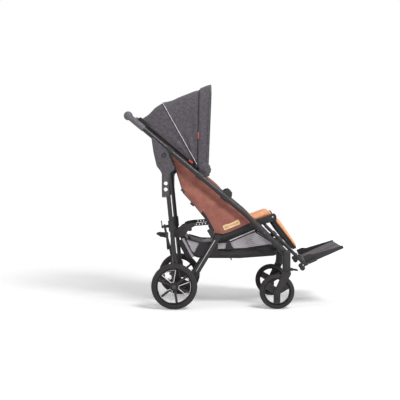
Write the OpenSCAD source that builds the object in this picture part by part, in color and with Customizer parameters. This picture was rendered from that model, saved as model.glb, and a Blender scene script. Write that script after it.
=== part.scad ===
// Special needs buggy with an umbrella fold.
// Millimetres, +Z up, +X forward, +Y to the rider's left.
// Side-plane points are [x, z], with x measured from the rear axle.

/* [Wheels] */
// Diameter of the rear wheels over the tyre
rear_wheel_d = 250; // [230:1:270]
// Width of the rear tyres
rear_tyre_w = 45; // [38:1:48]
// Radial depth of the rear tyres
rear_tyre_depth = 28; // [24:1:32]
// Distance between the rear wheels' middle planes
rear_track = 554; // [552:1:580]
// Diameter of the front wheels over the tyre
front_wheel_d = 190; // [175:1:196]
// Width of the front tyres
front_tyre_w = 37; // [32:1:38]
// Radial depth of the front tyres
front_tyre_depth = 22; // [19:1:26]
// Distance between the front wheels' middle planes
front_track = 492; // [490:1:500]
// Distance of the front axle behind the swivel axis
caster_trail = 51; // [40:1:54]
// Diameter of the rear axles
rear_axle_d = 12; // [10:0.5:14]
// Diameter of the front axles
front_axle_d = 10; // [8:0.5:12]

/* [Frame] */
// Distance between the middle lines of the two main tubes
frame_w = 450; // [448:1:456]
// Outer diameter of the main tubes
tube_d = 28; // [25:0.5:29]
// Wall of the frame tubes
tube_wall = 1.8; // [1.2:0.1:2.5]
// Height of the push handles' ends above the floor
handle_z = 1050; // [1040:1:1062]
// Distance of the push handles' ends behind the rear axle
handle_back = 254; // [246:1:262]
// Length of the upper part of a main tube
push_len = 830; // [822:1:838]
// Slope of the upper part of a main tube, in degrees
push_slope = 39.9; // [39.5:0.1:40.3]
// Length of the lower part of a main tube
front_len = 290; // [284:1:296]
// Slope of the lower part of a main tube, in degrees
front_slope = 44.5; // [44:0.1:45]
// Outer diameter of the rear legs
leg_d = 24; // [20:0.5:25]
// Distance of the leg hinges from the handle ends, along the tube
hinge_along = 290; // [286:1:294]
// Distance of the leg hinges below the tube axis
hinge_drop = 38; // [37:0.5:42]
// Diameter of the pivot pins
pin_d = 10; // [8:0.5:11]

/* [Handles] */
// Diameter of the handle grips
grip_d = 33; // [31:0.5:36]
// Diameter of the bulb at the end of a grip
bulb_d = 49; // [44:1:52]
// Length of the handle grips
grip_len = 112; // [100:1:125]

/* [Cross brace] */
// Height of the lower brace pivots above the rear axle
brace_low = 65; // [60:1:72]
// Rise of the brace bars between their pivots
brace_rise = 260; // [250:1:270]
// Distance between the brace pivots of the two sides
brace_span = 430; // [426:1:434]
// Width of the brace bars
brace_bar_w = 19; // [16:1:21]
// Thickness of the brace bars
brace_bar_t = 10; // [8:0.5:11]

/* [Seat] */
// Distance of the seat rail pivots below the bend, along the tube
rail_along = 100; // [96:1:104]
// Outer diameter of the seat rails
rail_d = 16; // [14:0.5:17]
// Width of the diagonal struts
strut_w = 30; // [24:1:32]
// Thickness of the diagonal struts
strut_t = 13; // [10:0.5:13]
// Slope of the seat, in degrees
seat_slope = 19; // [17:0.5:21]
// Length of the seat pad
seat_len = 318; // [305:1:322]
// Slope of the backrest, in degrees
back_slope = 60; // [57:0.5:63]
// Length of the back pad
back_len = 420; // [380:1:440]
// Length of the calf pad
calf_len = 190; // [170:1:205]

/* [Footrest] */
// Diameter of the footrest tubes
footrest_d = 18; // [16:0.5:19]
// Length of the footrest tubes
footrest_len = 286; // [276:1:296]
// Slope of the footplate, in degrees
footplate_slope = 24; // [21:0.5:26]
// Length of the footplate
footplate_len = 222; // [200:1:230]
// Height of the heel end of the footplate's side wall
heel_h = 48; // [40:1:54]

/* [Canopy] */
// Radius of the rear canopy panel about its pivot
hood_r = 447; // [438:1:454]
// Free gap between one canopy panel and the next
hood_gap = 0.5; // [0.4:0.1:0.9]
// Extra reach of the front visor
visor_reach = 32; // [26:1:36]
// Thickness of the canopy fabric
hood_t = 2.5; // [2:0.25:3]

/* [Basket] */
// Width of the shopping basket
basket_w = 320; // [290:1:330]
// Thickness of the basket's fabric
basket_t = 3; // [2:0.5:4]

/* [Hidden] */
$fn = 64;

black_metal = "#2b292b";
black_plastic = "#232223";
rubber = "#1b1a1b";
canopy_grey = "#4a474e";
panel_brown = "#8f4f40";
seat_orange = "#e08a52";
mesh_grey = "#8d888d";
plate_grey = "#7d787d";

// Clearances: a running fit, a part clamped on a tube, a loose slide, neighbours that pass, and soft parts
run_gap = 0.05;
clamp_gap = 0.1;
slide_gap = 0.3;
pass_gap = 0.6;
soft_gap = 0.4;

// Hinge cheeks and bolt heads
cheek_gap = 0.3;
cheek_t = 5;
head_t = 4;

// Directions in the side plane
function dir(a) = [cos(a), sin(a)];
function normal(a) = [-sin(a), cos(a)];
function angle_of(p, q) = atan2(q[1] - p[1], q[0] - p[0]);

// Lateral lanes: main tube and leg, strut, seat rail
tube_y = frame_w / 2;
strut_y = tube_y - tube_d / 2 - 11;
rail_y = strut_y - strut_t / 2 - pass_gap - 5 - rail_d / 2;
panel_t = 4;
panel_y = rail_y + rail_d / 2 + soft_gap;

// Main tube
handle_end = [-handle_back, handle_z];
tube_bend = handle_end + push_len * dir(-push_slope);
tube_foot = tube_bend + front_len * dir(-front_slope);
leg_hinge = handle_end + hinge_along * dir(-push_slope) - hinge_drop * normal(-push_slope);

// Rear leg and axle
rear_axle = [0, rear_wheel_d / 2];
leg_end = rear_axle + [13, 12];
leg_a = angle_of(leg_hinge, leg_end);
strut_foot = rear_axle + [84, 7];
rear_wheel_y = rear_track / 2;
hub_w = rear_tyre_w - 5;

// Front caster
swivel_x = tube_foot[0] + 18;
front_axle = [swivel_x - caster_trail, front_wheel_d / 2];
front_wheel_y = front_track / 2;
crown_z = front_wheel_d + 3;
crown_t = 12;
column_z = crown_z + crown_t + pass_gap;
column_top = tube_foot[1] + 6;
column_d = 44;
arm_t = 11;
arm_y = front_wheel_y + front_tyre_w / 2 + 4;

// Cross brace, in the plane behind the legs, square to them
brace_a = leg_a + 180;
brace_half = brace_span / 2;
brace_foot = leg_end + (brace_low - leg_end[1] + rear_axle[1]) * dir(brace_a) / sin(brace_a);
bar_len = sqrt(brace_span * brace_span + brace_rise * brace_rise);
bar_angle = atan2(brace_rise, brace_span);
sleeve_d = leg_d + 10;
bar_back = [sleeve_d / 2 + 4, sleeve_d / 2 + 4 + brace_bar_t + 2];
brace_top = brace_foot + brace_rise * dir(brace_a);
eye_r = brace_bar_w / 2 + 3;

// Seat rail and strut
rail_pivot = tube_bend + rail_along * dir(-front_slope);
knee = [236, 385];
rail_front = [541, 508];
function rail_at(x) = knee + (x - knee[0]) / (rail_front[0] - knee[0]) * (rail_front - knee);
seat_rear = [232, 402];
seat_front = seat_rear + seat_len * dir(seat_slope);
back_base = [214, 446];

// Footrest
guide_back = 56;
guide_in = 106;
footrest_top = tube_foot - (guide_back + guide_in) * dir(-front_slope) + 32 * normal(-front_slope) - [1.4, 0];
footrest_end = footrest_top + footrest_len * dir(-front_slope);
footrest_y = strut_y;
plate_hinge = footrest_end + [10, -14];
plate_y = footrest_y - 12;
plate_gap = 11;
plate_start = 12;
plate_t = 6;

// The origin lies under the middle of the part's length, from grip bulb to footplate tip
bulb_in = 2;
x_min = handle_end[0] + bulb_in * cos(push_slope) - bulb_d / 2;
x_max = plate_hinge[0] + (plate_start + footplate_len) * cos(footplate_slope) + plate_t * sin(footplate_slope);
x_shift = -(x_min + x_max) / 2;

// Canopy
hood_pivot = [154, 743];
hood_step = hood_t + hood_gap;
visor_w = tube_y - tube_d / 2 - 2;
mid_w = visor_w - 13;
rear_w = mid_w - hood_step - soft_gap;
hood_corner = 110;
hood_hub = 45;
rear_hood_a = 141;
mid_hood_a = 120.3;
zip_a = 92.6;
front_hood_a = 85.2;
bow_d = 8;
// Flare of the visor per degree and its angle, and how far the bows lie inside the panels
flare = visor_reach / (zip_a - front_hood_a);
flare_a = atan(flare * 180 / PI / hood_r);
mid_inset = ceil(hood_t + bow_d / 2 + soft_gap);
front_inset = ceil(hood_t + (bow_d / 2 + soft_gap) / cos(flare_a));

// Helpers

// Puts one side's shape on the left (1) or mirrors it to the right (-1)
module side(s) {
    translate([x_shift, 0, 0])
        if (s > 0) children();
        else mirror([0, 1, 0]) children();
}

module middle() translate([x_shift, 0, 0]) children();

// Local frame at a side-plane point: +X along angle a, +Z square to it
module along(p, a, y = 0) translate([p[0], y, p[1]]) rotate([0, -a, 0]) children();

// Round bar across the buggy
module cross(p, y0, y1, d) translate([p[0], y0, p[1]]) rotate([-90, 0, 0]) cylinder(d = d, h = y1 - y0);

// Round bar between two side-plane points
module rod(p, q, y, d) along(p, angle_of(p, q), y) rotate([0, 90, 0]) cylinder(d = d, h = norm(q - p));

// Flat shape in the side plane, from y0 to y1
module flat(y0, y1) translate([0, y1, 0]) rotate([90, 0, 0]) linear_extrude(y1 - y0) children();

// Two discs joined by their tangents, drawn as one outline
module link2d(p, q, r1, r2) {
    steps = 20;
    a = angle_of(p, q);
    t = acos((r1 - r2) / norm(q - p));
    polygon(concat([for (i = [0:steps]) p + r1 * dir(a + t + i * (360 - 2 * t) / steps)],
        [for (i = [0:steps]) q + r2 * dir(a - t + i * 2 * t / steps)]));
}

// Round bar through three side-plane points, mitred at the middle one
module bent_rod(a, b, c, y, d) {
    a0 = angle_of(a, b);
    a1 = angle_of(b, c);
    reach = 2 * max(norm(b - a), norm(c - b));
    intersection() {
        rod(a, b + d * dir(a0), y, d);
        along(b, (a0 + a1) / 2, y) translate([-reach, -reach / 2, -reach / 2]) cube(reach);
    }
    intersection() {
        rod(b - d * dir(a1), c, y, d);
        along(b, (a0 + a1) / 2, y) translate([0, -reach / 2, -reach / 2]) cube(reach);
    }
}

// Clamp round the upper main tube, with its own length
module tube_clamp(t, len, d) {
    half = len / 2 * dir(-push_slope);
    at = handle_end + t * dir(-push_slope);
    rod(at - half, at + half, tube_y, d);
}

module tube_bore(t, len) tube_clamp(t, len + 20, tube_d + 2 * clamp_gap);

// Wheel shapes lie about the Z axis and are turned to the axle
module on_axle(p, y) translate([p[0], y, p[1]]) rotate([-90, 0, 0]) children();

module tyre(d, w, depth) {
    r = w / 2;
    rotate_extrude() intersection() {
        translate([d / 2 - r, 0]) circle(r);
        translate([d / 2 - depth, -w]) square([depth + 1, 2 * w]);
    }
}

// Ring and hub of a wheel, joined by its spokes
module wheel_ring(r, w, wall) {
    h = w / 2;
    rotate_extrude() polygon([[r, h - 4], [r, 4 - h], [r - wall, -h], [r - wall - 3, 0], [r - wall, h]]);
}

// A pad with a crown, drawn-in sides and sewn channels: length along X, width along Y
module pad(len, wid, edge, crown, pinch, channels) {
    nu = 18;
    nv = 24;
    groove = crown * 0.45;
    groove_w = 0.035;
    function swell(u) = pow(max(0, sin(180 * u)), 0.45);
    function dent(v) = len(channels) == 0 ? 0 : max([for (c = channels) exp(-pow((v - c) / groove_w, 2))]);
    function py(u, v) = (v - 0.5) * wid * (1 - pinch * sin(180 * u));
    function pz(u, v) = edge + crown * swell(u) * swell(v) - groove * dent(v) * swell(u);
    top = [for (i = [0:nu]) for (j = [0:nv]) [len * i / nu, py(i / nu, j / nv), pz(i / nu, j / nv)]];
    base = [for (i = [0:nu]) for (j = [0:nv]) [len * i / nu, py(i / nu, j / nv), 0]];
    n = nv + 1;
    m = len(top);
    rim = concat([for (j = [0:nv]) j], [for (i = [1:nu]) i * n + nv],
        [for (j = [nv - 1:-1:0]) nu * n + j], [for (i = [nu - 1:-1:1]) i * n]);
    k = len(rim);
    tops = [for (i = [0:nu - 1]) for (j = [0:nv - 1]) each
        [[i * n + j, i * n + j + 1, (i + 1) * n + j], [i * n + j + 1, (i + 1) * n + j + 1, (i + 1) * n + j]]];
    walls = [for (e = [0:k - 1]) let (p = rim[e], q = rim[(e + 1) % k]) each
        [[p, p + m, q], [q, p + m, q + m]]];
    under = [[for (e = [k - 1:-1:0]) rim[e] + m]];
    polyhedron(concat(top, base), concat(tops, walls, under));
}

// Main frame

module main_tube(s) color(black_metal) side(s) difference() {
    bent_rod(handle_end, tube_bend, tube_foot, tube_y, tube_d);
    bent_rod(handle_end - 5 * dir(-push_slope), tube_bend, tube_foot + 5 * dir(-front_slope), tube_y,
        tube_d - 2 * tube_wall);
}

module grip(s) color(rubber) side(s) along(handle_end, -push_slope, tube_y) rotate([0, 90, 0]) difference() {
    rotate_extrude() {
        bulb = bulb_d / 2;
        intersection() {
            translate([0, bulb_in]) circle(bulb);
            translate([0, -bulb]) square([bulb, 2 * bulb]);
        }
        square([grip_d / 2, grip_len]);
        for (z = [34:11:grip_len - 14]) translate([grip_d / 2 - 3, z]) circle(4);
    }
    translate([0, 0, -clamp_gap]) cylinder(d = tube_d + 2 * clamp_gap, h = grip_len + 20);
}

module hinge_block(s) color(black_plastic) side(s) {
    foot = handle_end + hinge_along * dir(-push_slope);
    inner = leg_d / 2 + cheek_gap;
    outer = inner + cheek_t;
    difference() {
        union() {
            tube_clamp(hinge_along, 46, tube_d + 10);
            for (y = [tube_y - outer, tube_y + inner])
                flat(y, y + cheek_t) link2d(foot, leg_hinge, tube_d / 2 + 5, 14);
        }
        tube_bore(hinge_along, 46);
    }
    cross(leg_hinge, tube_y - outer - 3, tube_y + outer + 3, pin_d);
    for (y = [tube_y - outer - head_t, tube_y + outer])
        cross(leg_hinge, y, y + head_t, 18);
}

hood_along = (hood_pivot - handle_end) * dir(-push_slope);

module canopy_clamp() {
    foot = handle_end + hood_along * dir(-push_slope);
    difference() {
        union() {
            tube_clamp(hood_along, 34, tube_d + 9);
            flat(tube_y - 7, tube_y + 7) link2d(foot, hood_pivot, tube_d / 2 + 4, 11);
        }
        tube_bore(hood_along, 34);
    }
    cross(hood_pivot, tube_y - 46, tube_y, pin_d);
    cross(hood_pivot, tube_y - 49, tube_y - 46, 16);
}

// Clamps on one main tube: the canopy's, the seat rail's and the footrest's
module frame_clamps(s) color(black_plastic) side(s) {
    canopy_clamp();
    rail_clamp();
    footrest_clamp();
}

accessory_along = (([287, 620] - handle_end) * dir(-push_slope));
socket_d = 16;
socket_deep = 22;
boss_top = tube_d / 2 + 30;
// Round hub that carries the socket: its radius, half width and height over the tube's line
boss_r = tube_d - 1;
boss_half = 12;
boss_z = boss_top - 1 - boss_r;

module accessory_clamp(s) color(black_plastic) side(s) difference() {
    union() {
        tube_clamp(accessory_along, 44, tube_d + 10);
        along(handle_end + accessory_along * dir(-push_slope), -push_slope, tube_y) {
            cylinder(d = 30, h = boss_top - 3);
            translate([0, 0, boss_top - 3]) cylinder(d1 = 30, d2 = 26, h = 3);
            translate([0, 0, boss_z]) rotate([90, 0, 0]) rotate_extrude()
                polygon([[0, -boss_half], [boss_r - 3, -boss_half], [boss_r, 3 - boss_half],
                    [boss_r, boss_half - 3], [boss_r - 3, boss_half], [0, boss_half]]);
        }
    }
    tube_bore(accessory_along, 44);
    along(handle_end + accessory_along * dir(-push_slope), -push_slope, tube_y)
        translate([0, 0, boss_top - socket_deep]) cylinder(d = socket_d, h = socket_deep + 1);
}

// Front casters

lug = [swivel_x + column_d / 2 + 10, column_z + 10];
lug_pin_d = 5;
stem_d = 14;
stem_top = column_top - 14;

module caster_housing(s) color(black_plastic) side(s) {
    sleeve = 34;
    difference() {
        union() {
            translate([swivel_x, front_wheel_y, column_z]) {
                cylinder(d = column_d, h = column_top - column_z - 10);
                translate([0, 0, column_top - column_z - 10])
                    cylinder(d1 = column_d, d2 = column_d - 20, h = 10);
                cylinder(d = column_d + 5, h = 9);
            }
            rod(tube_foot - sleeve * dir(-front_slope), tube_foot + 14 * dir(-front_slope), tube_y, tube_d + 9);
            for (y = [front_wheel_y - 11, front_wheel_y + 6])
                flat(y, y + 5) link2d([swivel_x, column_z + 10], lug, 9, 7);
        }
        rod(tube_foot - (sleeve + 5) * dir(-front_slope), tube_foot + dir(-front_slope), tube_y,
            tube_d + 2 * clamp_gap);
        translate([swivel_x, front_wheel_y, column_z - 1])
            cylinder(d = stem_d + 2 * run_gap, h = stem_top - column_z + 2);
    }
    cross(lug, front_wheel_y - 12, front_wheel_y + 12, lug_pin_d);
}

module swivel_lock(s) color(black_plastic) side(s) {
    tip = lug + [26, -4];
    difference() {
        union() {
            flat(front_wheel_y - 5.6, front_wheel_y + 5.6) link2d(lug, tip - [8, -1], 6, 3);
            flat(front_wheel_y - 11, front_wheel_y + 11) link2d(lug + [15, -2], tip, 5, 4);
        }
        cross(lug, front_wheel_y - 20, front_wheel_y + 20, lug_pin_d + 2 * run_gap);
    }
}

module caster_fork(s) color(black_plastic) side(s) difference() {
    union() {
        translate([swivel_x, front_wheel_y, crown_z]) cylinder(d = stem_d, h = stem_top - crown_z);
        translate([swivel_x, front_wheel_y, crown_z]) cylinder(d = column_d, h = crown_t);
        translate([swivel_x - column_d / 2 + 1, front_wheel_y, crown_z])
            cube([column_d - 2, arm_y + arm_t - 1 - front_wheel_y, crown_t - 1]);
        flat(arm_y, arm_y + arm_t) difference() {
            link2d([swivel_x, crown_z + 4], front_axle, column_d / 2, 17);
            translate([swivel_x - 50, crown_z + crown_t]) square([100, 60]);
        }
        // Raised rib down the arm
        flat(arm_y + arm_t, arm_y + arm_t + 3) link2d([swivel_x - 4, crown_z - 8], front_axle, 12, 9);
        cross(front_axle, front_wheel_y - front_tyre_w / 2 + 2, arm_y + 2, front_axle_d);
        cross(front_axle, front_wheel_y - front_tyre_w / 2 - 2, front_wheel_y - front_tyre_w / 2 + 2, 16);
    }
    translate([swivel_x, front_wheel_y, crown_z - 1]) cylinder(d = 6, h = 40);
}

module front_rim(s) {
    r = front_wheel_d / 2 - front_tyre_depth - clamp_gap;
    w = front_tyre_w - 8;
    color(black_plastic) side(s) on_axle(front_axle, front_wheel_y) difference() {
        union() {
            wheel_ring(r, w, 5);
            cylinder(d = 42, h = w - 2, center = true);
            for (a = [90, 210, 330]) rotate(a) translate([0, -18, -w / 2 + 4]) cube([r - 6, 36, w - 8]);
        }
        for (a = [90, 210, 330]) rotate(a) translate([r / 2 + 4, 0, 0])
            for (z = [-w / 2 - 4, w / 2 - 7]) translate([-10, -8, z]) cube([20, 16, 11]);
        cylinder(d = front_axle_d + 2 * run_gap, h = w + 20, center = true);
    }
}

module front_tyre(s) color(rubber) side(s) on_axle(front_axle, front_wheel_y)
    tyre(front_wheel_d, front_tyre_w, front_tyre_depth);

// Rear legs and wheels

module rear_leg(s) color(black_metal) side(s) difference() {
    union() {
        rod(leg_hinge, leg_end, tube_y, leg_d);
        cross(leg_hinge, tube_y - leg_d / 2, tube_y + leg_d / 2, leg_d + 3);
    }
    rod(leg_hinge + 30 * dir(leg_a), leg_end + dir(leg_a), tube_y, leg_d - 2 * tube_wall);
    cross(leg_hinge, tube_y - leg_d, tube_y + leg_d, pin_d + 2 * run_gap);
}

// Stud on the leg side that carries a brace bar: the bars lie one behind the other
function stud_reach(s) = (s > 0 ? bar_back[1] : bar_back[0]) + brace_bar_t + 1.5;

module brace_stud(p, s) {
    along(p, leg_a) {
        translate([0, brace_half, -stud_reach(s) - 3]) cylinder(d = pin_d, h = stud_reach(s) + 3);
        translate([0, brace_half, -stud_reach(s) - 5]) cylinder(d = 16, h = 4);
        if (s > 0) translate([0, brace_half, -bar_back[1] + 0.7]) cylinder(d = 16, h = bar_back[1] - 2);
    }
}

// Inner face of the axle's boss, past the leg's socket
boss_in = tube_y - sleeve_d / 2 - 1;

module rear_housing(s) color(black_plastic) side(s) {
    socket = 74;
    boss_out = rear_wheel_y - hub_w / 2 - 1;
    difference() {
        union() {
            rod(leg_end - socket * dir(leg_a), leg_end + 8 * dir(leg_a), tube_y, sleeve_d);
            cross(rear_axle, boss_in, boss_out, 38);
            flat(tube_y - 13, tube_y + 13) link2d(rear_axle, strut_foot, 17, 15);
            flat(tube_y - 6, tube_y + 6) link2d(rear_axle + [6, 40], strut_foot, 8, 10);
            flat(tube_y - 9, tube_y + 9) link2d(rear_axle + [0, 10], brake_pivot, 12, 8);
            brace_stud(brace_foot, s);
        }
        rod(leg_end - (socket + 5) * dir(leg_a), leg_end + dir(leg_a), tube_y, leg_d + 2 * clamp_gap);
        cross(rear_axle, tube_y - 30, boss_out + 5, rear_axle_d + 2 * run_gap);
        cross(brake_pivot, tube_y - 30, tube_y + 30, brake_pin_d + 2 * run_gap);
    }
    // Stud for the strut's foot
    cross(strut_foot, strut_y - strut_t / 2 - 1, tube_y - 12, pin_d);
    cross(strut_foot, strut_y + strut_t / 2 + pass_gap, tube_y - 12, 20);
    cross(strut_foot, strut_y - strut_t / 2 - 4, strut_y - strut_t / 2 - pass_gap, 18);
}

module rear_axle_shaft(s) color("silver") side(s) {
    cross(rear_axle, boss_in - head_t - 1, rear_wheel_y + hub_w / 2 + 4, rear_axle_d);
    cross(rear_axle, boss_in - head_t - 1, boss_in - cheek_gap, 22);
    cross(rear_axle, rear_wheel_y + hub_w / 2 + 1, rear_wheel_y + hub_w / 2 + 5, 24);
}

module rear_rim(s) {
    r = rear_wheel_d / 2 - rear_tyre_depth - clamp_gap;
    w = rear_tyre_w - 9;
    web = 16;
    hub = 22;
    wall = 5;
    // The spokes have parallel sides, half this wide from their middle line
    spoke_w = 12;
    cut = 2 * r;
    color(black_plastic) side(s) on_axle(rear_axle, rear_wheel_y) difference() {
        union() {
            wheel_ring(r, w, wall);
            cylinder(r = hub, h = hub_w, center = true);
            translate([0, 0, -web / 2]) linear_extrude(web) difference() {
                circle(r - 4);
                for (a = [0:60:300]) rotate(a + 51) intersection() {
                    difference() {
                        circle(r - wall - 2);
                        circle(hub + 3);
                    }
                    polygon([[spoke_w, 0], [spoke_w + cut, -cut * tan(30)], [spoke_w + cut, cut * tan(30)]]);
                }
            }
        }
        cylinder(d = rear_axle_d + 2 * run_gap, h = hub_w + 20, center = true);
        for (z = [-hub_w / 2 - 1, hub_w / 2 - 5])
            translate([0, 0, z]) rotate_extrude() translate([hub - 8, 0]) square([4, 6]);
    }
}

module rear_tyre(s) color(rubber) side(s) on_axle(rear_axle, rear_wheel_y)
    tyre(rear_wheel_d, rear_tyre_w, rear_tyre_depth);

brake_pivot = rear_axle + [-32, 22];
brake_pin_d = 6;

module brake_pedal(s) color(black_plastic) side(s) {
    tip = brake_pivot + [-44, -4];
    half = 15;
    for (y = [tube_y - half + 1, tube_y + half - cheek_t])
        flat(y, y + cheek_t - 1) link2d(brake_pivot, brake_pivot + [-20, 1], 8, 4);
    flat(tube_y - half, tube_y + half) link2d(brake_pivot + [-19, 1], tip, 5, 3.5);
    // Ribs on the tread
    for (i = [0:2]) cross(brake_pivot + [-25 - 8 * i, 4 - i], tube_y - half + 2, tube_y + half - 2, 4);
    cross(brake_pivot, tube_y - half + 2, tube_y + half - 2, brake_pin_d);
}

// Side linkage

module seat_rail(s) color(black_metal) side(s) {
    ear = 8;
    difference() {
        union() {
            rod(knee, rail_front, rail_y, rail_d);
            cross(knee, rail_y - rail_d / 2 + 1.5, rail_y + rail_d / 2 + 1, 26);
            flat(rail_y - ear / 2, rail_y + ear / 2)
                link2d(rail_at(rail_pivot[0]), rail_pivot, 12, 14);
        }
        cross(rail_pivot, rail_y - 20, rail_y + 20, pin_d + 2 * run_gap);
    }
    // Bolt head at the knee, towards the strut
    cross(knee, rail_y + rail_d / 2, rail_y + rail_d / 2 + 4, 16);
}

// Clamp on the lower main tube with the seat rail's pivot
module rail_clamp() {
    half = 15 * dir(-front_slope);
    difference() {
        union() {
            rod(rail_pivot - half, rail_pivot + half, tube_y, tube_d + 9);
            cross(rail_pivot, rail_y + 4 + pass_gap, tube_y - tube_d / 2 - 1, 22);
        }
        rod(rail_pivot - 2 * half, rail_pivot + 2 * half, tube_y, tube_d + 2 * clamp_gap);
    }
    cross(rail_pivot, rail_y - 7, rail_y + 6, pin_d);
    cross(rail_pivot, rail_y - 8, rail_y - 4 - pass_gap, 18);
}

module strut(s) color(black_metal) side(s) {
    core = strut_w - strut_t;
    a = angle_of(strut_foot, knee);
    difference() {
        union() {
            along(strut_foot, a, strut_y) rotate([0, 90, 0]) linear_extrude(norm(knee - strut_foot)) {
                square([core, strut_t], center = true);
                for (x = [-core / 2, core / 2]) translate([x, 0]) circle(d = strut_t);
            }
            for (p = [strut_foot, knee])
                cross(p, strut_y - strut_t / 2 + 1, strut_y + strut_t / 2 - 1, strut_w + 4);
        }
        cross(strut_foot, strut_y - 20, strut_y + 20, pin_d + 2 * run_gap);
    }
    cross(knee, strut_y + strut_t / 2 - 2, strut_y + strut_t / 2 + 3, 17);
}

// Bracket on the leg with a perforated stay that holds the lower back
module back_stay(s) color(black_metal) side(s) {
    root = leg_hinge + 0.645 * (leg_end - leg_hinge);
    tip = root + [102, 92];
    end = tip + [66, 12];
    outer = rail_y - rail_d / 2 - 8;
    inner = outer - 4;
    hole_d = 5;
    difference() {
        cross(root, inner, tube_y, 14);
        rod(leg_hinge, leg_end, tube_y, leg_d + 2 * clamp_gap);
    }
    difference() {
        union() {
            flat(inner, outer) link2d(root, tip, 13, 9);
            flat(inner + 0.5, outer - 0.5) link2d(tip, end, 6.5, 6);
        }
        for (i = [1:4]) cross(tip + i / 5 * (end - tip), inner - 5, outer + 5, hole_d);
    }
}

// Cross brace

// Local +X runs up the leg, +Z points behind it
module x_bar(s, back) color(black_metal) middle() along(brace_foot, brace_a)
    translate([0, -s * brace_half, back]) rotate(s * (90 - bar_angle)) difference() {
        eyes = [0, bar_len / 2, bar_len];
        linear_extrude(brace_bar_t) {
            for (x = eyes) translate([x, 0]) circle(eye_r);
            translate([0, -brace_bar_w / 2]) square([bar_len, brace_bar_w]);
        }
        for (x = eyes) translate([x, 0, -1]) cylinder(d = pin_d + 2 * run_gap, h = brace_bar_t + 2);
    }

module x_bar_front() x_bar(1, bar_back[0]);

module x_bar_rear() x_bar(-1, bar_back[1]);

sleeve_len = 58;
hook_pin_d = 6;

module leg_sleeve(s) color(black_plastic) side(s) {
    half = sleeve_len / 2 * dir(leg_a);
    difference() {
        union() {
            rod(brace_top - half, brace_top + half, tube_y, sleeve_d);
            brace_stud(brace_top, -s);
            if (s < 0) along(brace_top, leg_a, brace_half)
                translate([0, 0, -stud_reach(1) - 11]) cylinder(d = hook_pin_d, h = 10);
        }
        rod(brace_top - 2 * half, brace_top + 2 * half, tube_y, leg_d + 2 * slide_gap);
    }
}

// Pedal on the middle pin of the brace
module fold_pedal() color(black_plastic) middle() {
    mid = brace_foot + brace_rise / 2 * dir(brace_a);
    back = bar_back[1] + brace_bar_t + 1;
    along(mid, brace_a) {
        translate([0, 0, bar_back[0] - 4]) cylinder(d = pin_d, h = back - bar_back[0] + 8);
        translate([0, 0, bar_back[0] - 5]) cylinder(d = 18, h = 4);
        translate([0, 0, back]) cylinder(d = 34, h = 9);
        translate([0, -13, back + 0.5]) cube([66, 26, 8]);
    }
    base = mid + 62 * dir(brace_a) + (back + 7) * normal(brace_a);
    flat(-45, 45) link2d(base, base + [-30, 4], 6, 5);
    flat(-44, 44) link2d(base + [-28, 4], base + [-44, 12], 4.5, 4);
}

// Hook that keeps the folded frame shut
module transport_hook() color(black_plastic) side(-1) {
    back = stud_reach(1) + 5.3;
    p = brace_top + back * normal(brace_a);
    along(p, brace_a, brace_half) difference() {
        union() {
            cylinder(d = 18, h = 5);
            translate([0, -5, 0]) cube([34, 10, 5]);
            translate([26, -5, 0]) cube([8, 22, 5]);
        }
        translate([0, 0, -1]) cylinder(d = hook_pin_d + 2 * run_gap, h = 10);
    }
}

// Footrest

module footrest_clamp() {
    at = footrest_top + guide_in * dir(-front_slope);
    foot = tube_bend + ((at - tube_bend) * dir(-front_slope)) * dir(-front_slope);
    half = 14 * dir(-front_slope);
    difference() {
        union() {
            rod(foot - half, foot + half, tube_y, tube_d + 9);
            rod(at - half, at + half, footrest_y, footrest_d + 9);
            along(foot, -front_slope, 0) translate([-9, footrest_y - 4, 4])
                cube([18, tube_y - footrest_y + 6, 24]);
        }
        rod(foot - 2 * half, foot + 2 * half, tube_y, tube_d + 2 * clamp_gap);
        rod(at - 2 * half, at + 2 * half, footrest_y, footrest_d + 2 * run_gap);
    }
}

hinge_pin_d = 8;

module footrest_tube(s) color(black_metal) side(s) {
    difference() {
        rod(footrest_top, footrest_end, footrest_y, footrest_d);
        rod(footrest_top + 6 * dir(-front_slope), footrest_end - 20 * dir(-front_slope), footrest_y,
            footrest_d - 3);
    }
    // Knuckle that carries the footplate's hinge pin
    cross(footrest_end, footrest_y - 11, footrest_y + 13, 24);
    along(plate_hinge, footplate_slope, footrest_y) rotate([0, 90, 0]) {
        translate([0, 0, -4]) cylinder(d = 20, h = 24);
        translate([0, 0, 16]) cylinder(d = hinge_pin_d, h = 62);
    }
}

module footplate(s) color(plate_grey) side(s) {
    inner = plate_gap;
    rib_pitch = 22;
    rib_w = 8;
    front_h = 16;
    stop_h = 26;
    eye = [24, 50];
    tip = plate_start + footplate_len;
    along(plate_hinge, footplate_slope) difference() {
        union() {
            translate([plate_start, inner, -plate_t]) cube([footplate_len, plate_y - inner, plate_t]);
            // Outer side wall, high at the heel
            flat(plate_y - plate_t, plate_y) polygon([[plate_start, -plate_t], [tip, -plate_t],
                [tip, front_h - plate_t], [70, heel_h - 18], [46, heel_h - plate_t],
                [plate_start, heel_h - plate_t]]);
            // Heel stop and ribs
            translate([plate_start, inner, -plate_t]) cube([plate_t, plate_y - inner, stop_h]);
            for (y = [inner + 10:rib_pitch:plate_y - 12])
                translate([24, y, -1]) cube([footplate_len - 30, rib_w, 4]);
            // Hinge eye
            translate([eye[0], footrest_y, 0]) rotate([0, 90, 0]) cylinder(d = 16, h = eye[1]);
            translate([eye[0], plate_y - 3, -5]) cube([eye[1], footrest_y - plate_y + 3, 9]);
        }
        translate([eye[0] - 4, footrest_y, 0]) rotate([0, 90, 0])
            cylinder(d = hinge_pin_d + 2 * run_gap, h = eye[1] + 20);
    }
}

// Soft parts

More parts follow.
